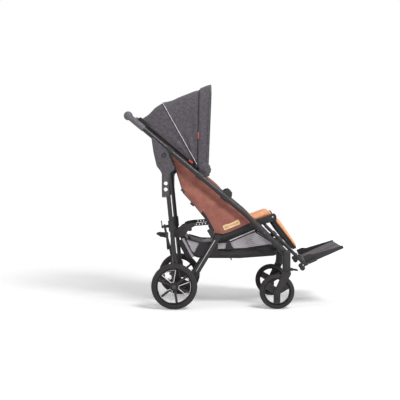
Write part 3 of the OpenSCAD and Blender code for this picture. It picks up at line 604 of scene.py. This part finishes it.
PANEL_TOP = ((-20, 834), (444, 482))
PANEL_EDGE = [(0.0, (-20, 834)), (0.12, (6, 754)), (0.3, (45, 629)), (0.4, (105, 563)), (0.52, (165, 489)),
              (0.62, (210, 409)), (0.68, (258, 401)), (0.74, (300, 412)), (0.81, (354, 437)), (0.88, (405, 459)),
              (1.0, (444, 482))]
PANEL_Y = 190.3
PANEL_ROWS = 36
PANEL_COLUMNS = 28
LABEL_SPOT, LABEL_TURN = (310, 453), 22
STITCH_GAP = 3.2


def panel_line(u):
    """Ends of the sling's line at u along the tube: on the tube and on the free edge."""
    return part_way(*PANEL_TOP, u), between(PANEL_EDGE, u)


def panel_point(s, u, v, off=0.0):
    """A point of the sling side: u along the tube, v from the tube to the free edge.

    The cloth rolls off the tube into a crease and then bellies outwards."""
    top, low = panel_line(u)
    length = dist(top, low)
    reach = v * length
    roll = 4 * exp(-reach / 13)
    belly = 14 * min(1, length / 170) * soft_step((reach - 32) / 62) * (1 - v ** 4)
    ripple = 1.3 * sin(5 * pi * v + 4 * u) * sin(pi * u) * sin(pi * v)
    x, z = part_way(top, low, v)
    return place(x, s * (PANEL_Y + roll + belly + ripple + off), z)


def panel_side(x, z):
    """How far out the sling side lies at a place of the side plane, in millimetres."""
    near, far = 0.3, 0.97
    for _ in range(40):
        u = (near + far) / 2
        top, low = panel_line(u)
        beside = (low[0] - top[0]) * (z - top[1]) - (low[1] - top[1]) * (x - top[0])
        near, far = (u, far) if beside > 0 else (near, u)
    return panel_point(1, u, dist(top, (x, z)) / dist(top, low)).y / MM


def on_label(along, up):
    """A side-plane point along and up from the middle of the sewn label."""
    return [middle + along * wave(radians(LABEL_TURN)) + up * wave(radians(LABEL_TURN + 90))
            for middle, wave in zip(LABEL_SPOT, (cos, sin))]


def label_layer(name, s, size, corner, low, high):
    """Sewn patch with rounded corners that lies on the sling side, from low to high above the cloth."""
    outline = []
    for k, (cx, cz) in enumerate(((1, 1), (-1, 1), (-1, -1), (1, -1))):
        for a in (pi / 2 * (k + i / 4) for i in range(5)):
            outline.append((cx * (size[0] / 2 - corner) + corner * cos(a),
                            cz * (size[1] / 2 - corner) + corner * sin(a)))
    rings = []
    for share, off in ((1, low), (1, high - 0.3), (0.985, high), (0.7, high), (0.35, high), (0.05, high)):
        spots = [on_label(px * share, pz * share) for px, pz in outline]
        rings.append([place(x, s * (panel_side(x, z) + off), z) for x, z in spots])
    return loft(name, rings)


# Each side: the sling, its black edge and band, a roll along the main tube, two buckles and an adjuster, and on the
# right the sewn label
for name, s in SIDES:
    body = "main_" + name
    rows = [[panel_point(s, i / PANEL_ROWS, j / PANEL_COLUMNS) for j in range(PANEL_COLUMNS + 1)]
            for i in range(PANEL_ROWS + 1)]
    edge = [panel_point(s, u / 60, 1.0) for u in range(2, 59)]
    band_rows = []
    for i in range(13):
        u = 0.48 + 0.14 * i / 12
        top, low = panel_line(u)
        share = 18 / dist(top, low)
        band_rows.append([panel_point(s, u, 1 - share * (1 - j / 4), 2.4) for j in range(5)])
    roll_line = [place(x, s * 204, on_push_tube(x) + 20) for x in range(160, 260, 6)]
    taper = [soft_step(i / 4) * soft_step((16 - i) / 6) for i in range(len(roll_line))]
    made = [(cloth_rows("sling_side_" + name, rows, 2.4), sling_cloth, "panel"),
            (piping("sling_edge_" + name, edge, 2.4), black_cloth, "panel"),
            (cloth_rows("sling_band_" + name, band_rows, 1.6), black_cloth, "panel"),
            (piping("sling_roll_" + name, roll_line, 5.0, swell=taper), sling_cloth, "panel")]
    for i, (x, z) in enumerate(((47, 640), (98, 566))):
        buckle = block(f"sling_buckle_{name}_{i}", place(x - 3, s * 191, z), (13, 8, 26), 50, 2.5)
        made.append((buckle, moulded_nylon, "plastic"))
    adjuster = block("sling_adjuster_" + name, place(200, s * 192.3, 405), (56, 6, 26), -59, 2.4)
    made.append((adjuster, moulded_nylon, "plastic"))
    if s < 0:
        made += [(label_layer("label_patch", s, (95, 28), 5, 0.6, 2.9), label_hide, "panel"),
                 (label_layer("label_field", s, (81, 15), 3, 2.5, 3.3), label_field, "panel")]
        stitches = [((k - 13.5) * STITCH_GAP, w, LABEL_TURN) for k in range(28) for w in (-10.8, 10.8)]
        stitches += [(w, (k - 2.5) * STITCH_GAP, LABEL_TURN + 90) for k in range(6) for w in (-44, 44)]
        sewn = []
        for along, up, turn in stitches:
            x, z = on_label(along, up)
            sewn.append(block("stitch", place(x, s * (panel_side(x, z) + 3.0), z), (2.2, 0.6, 0.8), turn, 0.2))
        made.append((joined("label_stitches", sewn), sewing_thread, "panel"))
    panel, *trims = [dressed(piece, material, body, slot) for piece, material, slot in made]
    for piece in (panel, *trims):
        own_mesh(piece)
    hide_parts("side_panel_" + name)
    declare_cloth(panel, trims)

# Pads: blown up as cloth from a smaller block, then sewn down in channels


def cushion(name, length, width, thick, corner, cap, channels, groove):
    """A padded form from 0 to length, across the width, its underside at 0; channels are shares of the width."""
    bpy.ops.mesh.primitive_cube_add(size=1, location=(length / 2 * MM, 0, thick * 0.5 * MM))
    piece = just_made(name)
    piece.scale = ((length - cap) * MM, (width - cap) * MM, thick * 0.72 * MM)
    bpy.ops.object.transform_apply()
    with_modifier(piece, "BEVEL", width=corner * MM, segments=4)
    with_modifier(piece, "REMESH", mode="VOXEL", voxel_size=6 * MM)
    rest = [v.co.copy() for v in piece.data.vertices]
    alone(piece)
    cloth = piece.modifiers.new("swell", "CLOTH")
    set_up(cloth.settings, use_pressure=True, uniform_pressure_force=4, quality=4)
    cloth.settings.effector_weights.gravity = 0
    for number in range(1, 21):
        scene.frame_set(number)
    bpy.ops.object.modifier_apply(modifier=cloth.name)
    scene.frame_set(1)
    for v, start in zip(piece.data.vertices, rest):
        move = v.co - start
        if move.length > cap * MM:
            v.co = start + move * (cap * MM / move.length)
        # Sides draw in between the corners, the underside stays flat and the channels are sewn down
        u = min(1, max(0, v.co.x / (length * MM)))
        v.co.y *= 1 - 0.025 * sin(pi * u)
        v.co.z = max(v.co.z, 0.5 * MM)
        across = v.co.y / (width * MM) + 0.5
        dent = max([exp(-((across - c) * width / 7) ** 2) for c in channels] or [0])
        rise = max(0, v.co.z / (thick * MM) - 0.3) / 0.7
        v.co.z -= groove * MM * dent * min(1, rise) * min(1, 6 * u, 6 * (1 - u))
    with_modifier(piece, "SMOOTH", factor=0.4, iterations=2)
    return with_modifier(piece, "SUBSURF", levels=1, render_levels=1)


def laid(piece, x, z, slope):
    """Moves a pad's or mat's mesh so that its rear end lies at x, z and it slopes up by an angle."""
    piece.data.transform(Matrix.Translation(place(x, 0, z)) @ Matrix.Rotation(-radians(slope), 4, "Y"))
    return piece


CALF_TOP = (544, 478)
CALF_SLOPE = -52.2
CALF_LENGTH = 203
seat = laid(cushion("seat_cushion", 332, 340, 31, 11, 9, (0.3, 0.5, 0.7), 7), 232, 399, 19)
back = laid(cushion("back_cushion", 418, 370, 29, 11, 9, (0.27, 0.5, 0.73), 7), 4, 809.5, -60)
calf = cushion("calf_cushion", CALF_LENGTH, 298, 20, 7, 5, (0.34, 0.66), 5)
for v in calf.data.vertices:
    v.co.z *= 1.32 - 0.62 * v.co.x / (CALF_LENGTH * MM)
laid(calf, *CALF_TOP, CALF_SLOPE)
for piece, node, body, half_width, fill in ((seat, "seat_pad", "rail_right", 171, 0.7),
                                            (back, "back_pad", "main_right", 187, 0.7),
                                            (calf, "calf_pad", "rail_right", 150, 0.6)):
    dressed(piece, seat_fabric, body, "pad", half_width)
    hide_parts(node)

LINING_DROP = 2.2


def pad_backing(name, body, spot, slope, length, half_width, material, bag):
    """Lining sheet under a pad, a little slack between its edges."""
    rows = []
    for u in (i / 12 for i in range(13)):
        rows.append([on_slope(spot, slope, v * half_width, u * length, -(LINING_DROP + bag * (1 - v * v) * sin(pi * u)))
                     for v in (2 * j / 16 - 1 for j in range(17))])
    declare_cloth(dressed(cloth_rows(name, rows, 1.6), material, body, "panel", half_width))


pad_backing("seat_lining", "rail_right", (236, 397.5), 19, 312, 169, black_cloth, 8)
pad_backing("back_lining", "main_right", (6, 806), -60, 410, 182, sling_cloth, 10)

# Black padded back of the calf rest: place down the slope, half width, front and rear face of each ring
CALF_RINGS = ((0, 132, -1, -12), (3, 142, 0, -18), (14, 146, 0, -23), (70, 147, 0, -26), (130, 147, 0, -25),
              (186, 145, 0, -20), (197, 141, 0, -15), (200, 132, -1, -10))
calf_rings = [[on_slope(CALF_TOP, CALF_SLOPE, wide * half, along, (front + rear) / 2 + (front - rear) / 2 * deep)
               for wide, deep in rounded_ring(40, 0.35, 0.5)] for along, half, front, rear in CALF_RINGS]
support = dressed(loft("calf_back", calf_rings), black_cloth, "rail_right", "pad", 147)
calf_line = [on_slope(CALF_TOP, CALF_SLOPE, y, along, 2) for y, along in ((-148, 3), (-148, 198), (148, 198), (148, 3))]
dressed(piping("calf_edge_tape", calf_line, 3.5, closed=True), black_cloth, "rail_right", "pad", 152)

# Cloth sleeves that carry the seat on its rails, rounded over at the front

# Place along the rail, and top and low edge from the rail's line
SLEEVE_RINGS = ((252, 8.4, -17), (262, 9, -20), (330, 9, -22), (420, 9, -24), (480, 9, -29), (520, 9.5, -34),
                (538, 9.5, -37), (547, 6, -38), (553, 0, -36), (557, -8, -31))
for name, s in SIDES:
    rings = [[place(x, s * (RAIL_Y + 8.6 * wide), on_rail(min(x, 545)) + (high + low) / 2 + (high - low) / 2 * tall)
              for wide, tall in rounded_ring(24, 0.5, 0.6)] for x, high, low in SLEEVE_RINGS]
    dressed(loft("rail_sleeve_" + name, rings), black_cloth, "rail_" + name, "pad")
    rivet = disc("rail_rivet_" + name, place(536, s * (RAIL_Y + 9.4), on_rail(536) - 9), 4.5, 2.5)
    dressed(rivet, turned_edge, "rail_" + name, "steel")
    for i, along in enumerate((150, 186)):
        spot = (TUBE_BEND[0] + along * cos(radians(FRONT_SLOPE)), TUBE_BEND[1] + along * sin(radians(FRONT_SLOPE)))
        head = disc(f"tube_rivet_{name}_{i}", place(spot[0], s * 239.5, spot[1]), 6.5, 2.6)
        dressed(head, black_zinc, "main_" + name, "steel")

# Basket: a black cloth tray with net sides, slung between the rails

BASKET_HEM = [(50, 381), (137, 357), (236, 356), (302, 361), (439, 420), (556, 346), (570, 338)]
BASKET_FLOOR = [(54, 372), (88, 302), (98, 281), (118, 269), (187, 266), (357, 266), (545, 280), (562, 288), (570, 318)]
BASKET_SEAM = [(54, 378), (76, 334), (97, 299), (112, 296), (140, 321), (230, 317), (385, 324),
               (523, 345), (556, 330), (570, 326)]
BASKET_W = 158


def basket_row(x):
    """Right hem, down the side, over the floor and up to the left hem at one place along the basket."""
    hem, seam, floor = (between(line, x) for line in (BASKET_HEM, BASKET_SEAM, BASKET_FLOOR))
    depth = hem - floor
    seam = min(hem - 3, max(floor + 11, seam))
    low = floor + 10
    row = [(-BASKET_W + 2 * sin(pi * k / 5), hem + (seam - hem) * k / 5) for k in range(6)]
    # The tray tucks in under the seam and bellies out above the floor
    row += [(-BASKET_W + 9 * sin(2 * pi * k / 8) * min(1, (seam - low) / 30), seam + (low - seam) * k / 8)
            for k in range(1, 9)]
    row += [(-BASKET_W + 10 - 10 * cos(a), low - 10 * sin(a)) for a in (k / 4 * pi / 2 for k in range(1, 5))]
    row += [(-BASKET_W + 10 + v * (BASKET_W - 10), floor - 5 * sin(pi / 2 * v) * min(1, depth / 60))
            for v in (k / 8 for k in range(1, 9))]
    return [place(x, y, z) for y, z in row] + [place(x, -y, z) for y, z in reversed(row[:-1])]


# Strap down the side: place, half width, distance from the middle and height of each row
STRAP_ROWS = ((310, 13, 171, 408), (303, 11, 168, 390), (296, 8, 164, 371), (295, 10, 163, 355), (297, 16, 163, 335),
              (302, 26, 163, 316))
# Guard patch at the rear of the side: place, top and bottom
GUARD_ROWS = ((106, 300, 288), (114, 314, 283), (122, 330, 279), (134, 353, 277), (156, 354, 277), (180, 354, 276),
              (205, 353, 276), (236, 344, 276))
# Edge of the net at the rear end, then the tab down from the rail: place, distance from the middle and height
END_EDGE = ((50, 380), (62, 357), (74, 334), (86, 311), (97, 290), (108, 276))
TAB_ROWS = ((428, 171, 470), (428, 169, 447), (428, 161, 424), (428, 156, 404))
BAND_STEPS = 6


def band_point(s, x, k):
    """A point of the cloth between the basket's hem and the seat rail, k steps up from the hem."""
    low, high = between(BASKET_HEM, x), on_rail(x) - 14
    slack = 0.8 * sin(x / 17) * sin(pi * k / BAND_STEPS)
    return place(x, s * (BASKET_W + 0.5 + 12 * soft_step(k / BAND_STEPS) + slack), low + (high - low) * k / BAND_STEPS)


def guard_point(s, x, high, low, k):
    """A point of the guard patch, k steps down from its top; it stands further out where it is deeper."""
    return place(x, s * (BASKET_W + 3.5 + 6 * (high - low) / 80 * k / BAND_STEPS), high + (low - high) * k / BAND_STEPS)


def end_point(s, x, z, out):
    """A point of the basket's rear end, out from the edge of the net."""
    return place(x - 0.89 * out, s * (BASKET_W - out * out / 160), z - 0.46 * out)


stations = [60 + i * (568 - 60) / 48 for i in range(49)]
whole = [basket_row(x) for x in stations]
SPLIT = 5
nets = [cloth_rows("basket_net_right", [row[:SPLIT + 1] for row in whole], 1.2),
        cloth_rows("basket_net_left", [row[-SPLIT - 1:] for row in whole], 1.2)]
tray = cloth_rows("basket_tray", [row[SPLIT:-SPLIT] for row in whole], 1.8)
dressed(tray, black_cloth, "main_right", "mesh", BASKET_W + 9)
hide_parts("basket")
for (name, s), net in zip(SIDES, nets):
    steps = range(BAND_STEPS + 1)
    hem_line = [place(x, s * (BASKET_W + 0.5), between(BASKET_HEM, x) - 4) for x in stations]
    bead_line = [place(x, s * (BASKET_W + 4.5), between(BASKET_HEM, x) + 3) for x in range(300, 441, 10)]
    band_rows = [[band_point(s, x, k) for k in steps] for x in range(240, 449, 8)]
    strap_rows = [[place(x + w * half, s * y, z) for w in (-1, -0.5, 0, 0.5, 1)] for x, half, y, z in STRAP_ROWS]
    guard_rows = [[guard_point(s, *row, k) for k in steps] for row in GUARD_ROWS]
    end_rows = [[end_point(s, x, z, out) for out in range(0, 45, 4)] for x, z in END_EDGE]
    tab_rows = [[place(x + w, s * y, z) for w in (-10, 0, 10)] for x, y, z in TAB_ROWS]
    made = {"net": dressed(net, basket_net, "main_right", "mesh", BASKET_W)}
    for part, make, rows, thick, material, half_width in (
            ("hem", piping, hem_line, 4.0, black_cloth, 163),
            ("bead", piping, bead_line, 2.9, reflective_tape_and_highlight, 166),
            ("band", cloth_rows, band_rows, 1.6, black_cloth, 172),
            ("strap", cloth_rows, strap_rows, 1.8, black_cloth, 171),
            ("guard", cloth_rows, guard_rows, 1.6, black_cloth, 169),
            ("end_net", cloth_rows, [row[:5] for row in end_rows], 1.2, basket_net, 162),
            ("end_border", cloth_rows, [row[4:] for row in end_rows], 1.8, black_cloth, 162),
            ("end_seam", piping, [row[0] for row in end_rows], 3.0, black_cloth, 162),
            ("tab", cloth_rows, tab_rows, 1.8, black_cloth, 172)):
        made[part] = dressed(make(f"basket_{part}_{name}", rows, thick), material, "main_right", "mesh", half_width)
    for part, held, *trims in (("end_border", "hung", "end_seam"), ("end_net", "hung"),
                               ("net", "hung", "hem", "bead", "guard"), ("band", "stretched"), ("strap", "hung"),
                               ("tab", "hung")):
        declare_cloth(made[part], [made[trim] for trim in trims])
declare_cloth(tray)
dressed(block("basket_hook", place(309, -120, 258), (6, 10, 16), 20, 2), moulded_nylon, "main_right", "plastic", 128)

# Rear flaps: canopy cloth that covers the leg hinges, with an edge tape, an eyelet and two press studs

# Height, rear edge and front edge of each row of the flap
FLAP_ROWS = [(930, -124, -112), (905, -120, -88), (870, -115, -48), (862, -114, -40), (836, -109, -31),
             (806, -102, -17), (776, -95, -2), (757, -80, 4), (747, -73, -10), (732, -67, -29), (690, -67, -29),
             (650, -67, -29), (606, -67, -29)]
FLAP_Y = 248.2


def flap_point(s, z, rear, front, v):
    """A point of the flap, v of the way from its rear to its front edge, with a slight wave."""
    wave = sin(pi * v) * sin(z / 23) + 0.6 * sin(z / 11 + 4 * v)
    return place(rear + v * (front - rear), s * (FLAP_Y + wave), z)


for name, s in SIDES:
    body = "main_" + name
    rows = [[flap_point(s, *row, j / 12) for j in range(13)] for row in FLAP_ROWS]
    flap = cloth_rows("rear_flap_" + name, rows, 2.0)
    with_modifier(flap, "SUBSURF", levels=1, render_levels=1)
    dressed(flap, canopy_canvas, body, "canopy")
    edge = piping("flap_edge_" + name, [row[0] for row in rows] + [row[-1] for row in rows[:4:-1]], 1.6)
    dressed(edge, black_cloth, body, "canopy")
    bpy.ops.mesh.primitive_torus_add(major_radius=10 * MM, minor_radius=2.2 * MM, major_segments=40, minor_segments=12,
                                     location=place(LEG_HINGE[0], s * (FLAP_Y + 2.2), LEG_HINGE[1]),
                                     rotation=(pi / 2, 0, 0))
    eyelet = dressed(just_made("flap_eyelet_" + name), moulded_nylon, body, "plastic")
    studs = [dressed(disc(f"flap_stud_{name}_{i}", place(-47, s * (FLAP_Y + 2.2), z), 10.5, 3.4, bevel=1.4),
                     stud_acetal, body, "plastic") for i, z in enumerate((681, 648))]
    if s < 0:
        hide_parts("rear_flap")
    declare_cloth(flap, [edge, eyelet] + studs)

# Back stays: a moulded bracket on the leg and a perforated strap that reaches the seat back

STAY_OUTLINE = [(-26, 402), (10, 421), (26, 436), (40, 440), (52, 454), (74, 458), (92, 461), (106, 462), (112, 455),
                (107, 443), (92, 436), (88, 421), (80, 416), (71, 419), (58, 398), (41, 383), (18, 380), (-14, 381)]
STRAP_ENDS = ((98, 452), (182, 459))


def bar_outline(ends, half):
    """Outline of a flat bar with round ends."""
    (ax, az), (bx, bz) = ends
    lean = atan2(bz - az, bx - ax)
    turns = [lean + pi / 2 + pi * i / 8 for i in range(9)]
    return ([(ax + half * cos(a), az + half * sin(a)) for a in turns]
            + [(bx - half * cos(a), bz - half * sin(a)) for a in turns])


for name, s in SIDES:
    strap = plate("strap", bar_outline(STRAP_ENDS, 8.5), s * 160, s * 164, 0.6)
    holes = []
    for share in (0.22, 0.42, 0.62, 0.82):
        x, z = part_way(*STRAP_ENDS, share)
        holes.append(disc("hole", place(x, s * 162, z), 2.8, 20, 0.2))
    cutter = joined("cutter", holes)
    with_modifier(strap, "BOOLEAN", object=cutter, operation="DIFFERENCE")
    bpy.data.objects.remove(cutter)
    parts = [plate("bracket", STAY_OUTLINE, s * 157, s * 169, 3), strap, disc("pin", place(-20, s * 187, 392), 7, 52),
             disc("bolt", place(46, s * 163, 441), 9, 17, 2), disc("bolt", place(84, s * 163, 425), 8, 17, 2),
             disc("bolt", place(96, s * 163, 453), 7, 16, 2)]
    stay = dressed(joined("back_stay_bracket_" + name, parts), moulded_nylon, "leg_" + name, "plastic")
    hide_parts("back_stay_" + name)

# Treadle of the fold pedal, with its gusset

TREADLE = [(-119, 391), (-113, 397), (-101, 399.5), (-80, 398), (-57, 397), (-50, 396), (-50, 352), (-54, 338),
           (-58, 352), (-62, 368), (-75, 381), (-101, 382.5), (-114, 385)]
dressed(plate("fold_pedal_treadle", TREADLE, -24, 24, 2.5), moulded_nylon, "fold_pedal", "plastic")

# Painted highlight: a pale stripe on the outer face of each strut stands in for the light the tube catches

for name, s in SIDES:
    highlight_line = [place(117 + 103 * i / 8, s * 206, 198 + 172 * i / 8) for i in range(9)]
    stripe = piping("strut_highlight_stripe_" + name, highlight_line, 1.5)
    dressed(stripe, reflective_tape_and_highlight, "strut_" + name, "steel")

# Wheels: bright edges round every other window of the rear wheels

WINDOW_IN, WINDOW_OUT, WINDOW_APEX = 25, 89.9, 12
WHEEL_R = 125
WEB_FACE_Y = 277 + 8.3


def window_loop(name, s, turn):
    """Closed wire round one wheel window, lying on the web's outer face."""
    steps = 10

    def side_angle(radius):
        # The straight side leaves the apex at 30 degrees: the triangle of apex, centre and spot gives its angle
        return radians(30) - asin(WINDOW_APEX * sin(radians(30)) / radius)

    radii = [WINDOW_IN + (WINDOW_OUT - WINDOW_IN) * i / steps for i in range(steps + 1)]
    wide, thin = side_angle(WINDOW_OUT), side_angle(WINDOW_IN)
    outline = [(r, -side_angle(r)) for r in radii]
    outline += [(WINDOW_OUT, wide * (i / 6 - 1)) for i in range(1, 12)]
    outline += [(r, side_angle(r)) for r in reversed(radii)]
    outline += [(WINDOW_IN, thin * (1 - i / 3)) for i in range(1, 6)]
    line = [place(r * cos(radians(turn) + a), s * WEB_FACE_Y, WHEEL_R + r * sin(radians(turn) + a)) for r, a in outline]
    return piping(name, line, 2.4, closed=True)


for name, s in SIDES:
    loops = [window_loop("loop", s, turn) for turn in (111, 231, 351)]
    dressed(joined("wheel_window_edges_" + name, loops), turned_edge, "rear_wheel_" + name, "steel")

# Knuckles at the lower ends of the footrest tubes

for name, s in SIDES:
    lobes = [disc("lobe", place(699, s * 200, 218), 14, 24, 4), disc("lobe", place(689, s * 200, 231), 12, 20, 3)]
    dressed(joined("footrest_knuckle_" + name, lobes), moulded_nylon, "footrest_" + name, "plastic")

# Footplate mats: ribbed rubber let into each half; every third row of the grid stands higher

PLATE_HINGE, PLATE_SLOPE = (709.1, 236.2), 24
MAT_RIBS = 46
for name, s in SIDES:
    bpy.ops.mesh.primitive_grid_add(x_subdivisions=4, y_subdivisions=MAT_RIBS, size=1)
    mat = just_made("footplate_mat_" + name)
    for v in mat.data.vertices:
        x, y, _ = v.co
        row = round((y + 0.5) * MAT_RIBS)
        v.co = Vector(((20 + (x + 0.5) * 208) * MM, s * (14 + (y + 0.5) * 166) * MM, (3.6 if row % 3 else 5.0) * MM))
    facing_out(laid(mat, *PLATE_HINGE, PLATE_SLOPE))
    with_modifier(mat, "SOLIDIFY", thickness=3 * MM, offset=0)
    dressed(mat, mat_rubber, "footplate_" + name, "footplate")

# Finishes of the carried-over frame parts

# Words in the node names, by material; every other node is moulded
FINISHES = (
    (powder_coat, ("main_tube", "rear_leg", "seat_rail", "strut", "footrest_tube", "x_bar", "bow", "back_stay")),
    (tyre_rubber, ("tyre",)),
    (grip_foam, ("grip",)),
    (black_zinc, ("rear_axle",)),
)
for name, part in nodes.items():
    finish = moulded_nylon
    for material, words in FINISHES:
        if any(word in name for word in words):
            finish = material
    part.data.materials.clear()
    part.data.materials.append(finish)

# Studio: pale floor, white surround, soft light from above and both sides

# Painted floor, near white, with a roller's faint mottling; seen by the camera or in a reflection it also glows a
# little, more so further away
floor_paint, shader = start_material("studio_floor", Roughness=0.9, Emission_Color=(1, 1, 1, 1))
spot = coordinates(shader, "Object")
two_tone(shader, noise(spot, 2.0, 2.0), "#f4f4f4", "#f8f8f8")
ray = add_node(shader, "LightPath").outputs
shown = combined("MAXIMUM", ray["Is Camera Ray"], ray["Is Glossy Ray"])
away = add_node(shader, "VectorMath", {0: spot}, operation="LENGTH").outputs["Value"]
feed(combined("MULTIPLY", shown, ranged(away, 0.9, 4.0, 0.2, 0.6)), shader, "Emission Strength")
bpy.ops.mesh.primitive_plane_add(size=60, location=(0, 0, -0.0005))
floor = just_made("studio_floor")
floor.data.materials.append(floor_paint)

world = bpy.data.worlds.new("studio")
scene.world = world
world.use_nodes = True
back_light = world.node_tree.nodes["Background"]
back_light.inputs["Color"].default_value = (1, 1, 1, 1)
ray = add_node(back_light, "LightPath").outputs
seen = combined("MAXIMUM", ray["Is Camera Ray"], ray["Is Transmission Ray"])
shown = combined("MAXIMUM", seen, ray["Is Glossy Ray"])
feed(ranged(shown, 0.0, 1.0, 0.42, 1.0), back_light, "Strength")

# Name, place, aim, size and power of each lamp
for name, spot, aim, size, power in (("key", (1.8, -2.6, 3.6), (0, 0, 0.6), 1.2, 140),
                                     ("fill", (-2.6, -2.6, 1.6), (0, 0, 0.5), 2.0, 14),
                                     ("top", (0.2, 0.4, 3.4), (0, 0, 0.6), 2.6, 14)):
    lamp = set_up(bpy.data.lights.new(name, "AREA"), shape="RECTANGLE", size=size, size_y=size, energy=power)
    turn = (Vector(aim) - Vector(spot)).to_track_quat("-Z", "Y").to_euler()
    set_up(new_object(name, lamp), location=spot, rotation_euler=turn)

# Camera: 4.5 m off the right side, at the height of the seat back, as the photograph was taken
CAMERA_BACK = 4520
CAMERA_HEIGHT = 729
CAMERA_AHEAD = 241
CAMERA_AIM = (-0.02395, 1, -0.0322)
LENS = 71.0
SENSOR = 36
camera_data = set_up(bpy.data.cameras.new("photo_camera"), lens=LENS, sensor_width=SENSOR)
camera = new_object("photo_camera", camera_data)
camera.location = place(CAMERA_AHEAD, -CAMERA_BACK, CAMERA_HEIGHT)
camera.rotation_euler = Vector(CAMERA_AIM).to_track_quat("-Z", "Y").to_euler()
scene.camera = camera

scene.view_settings.view_transform = "Standard"
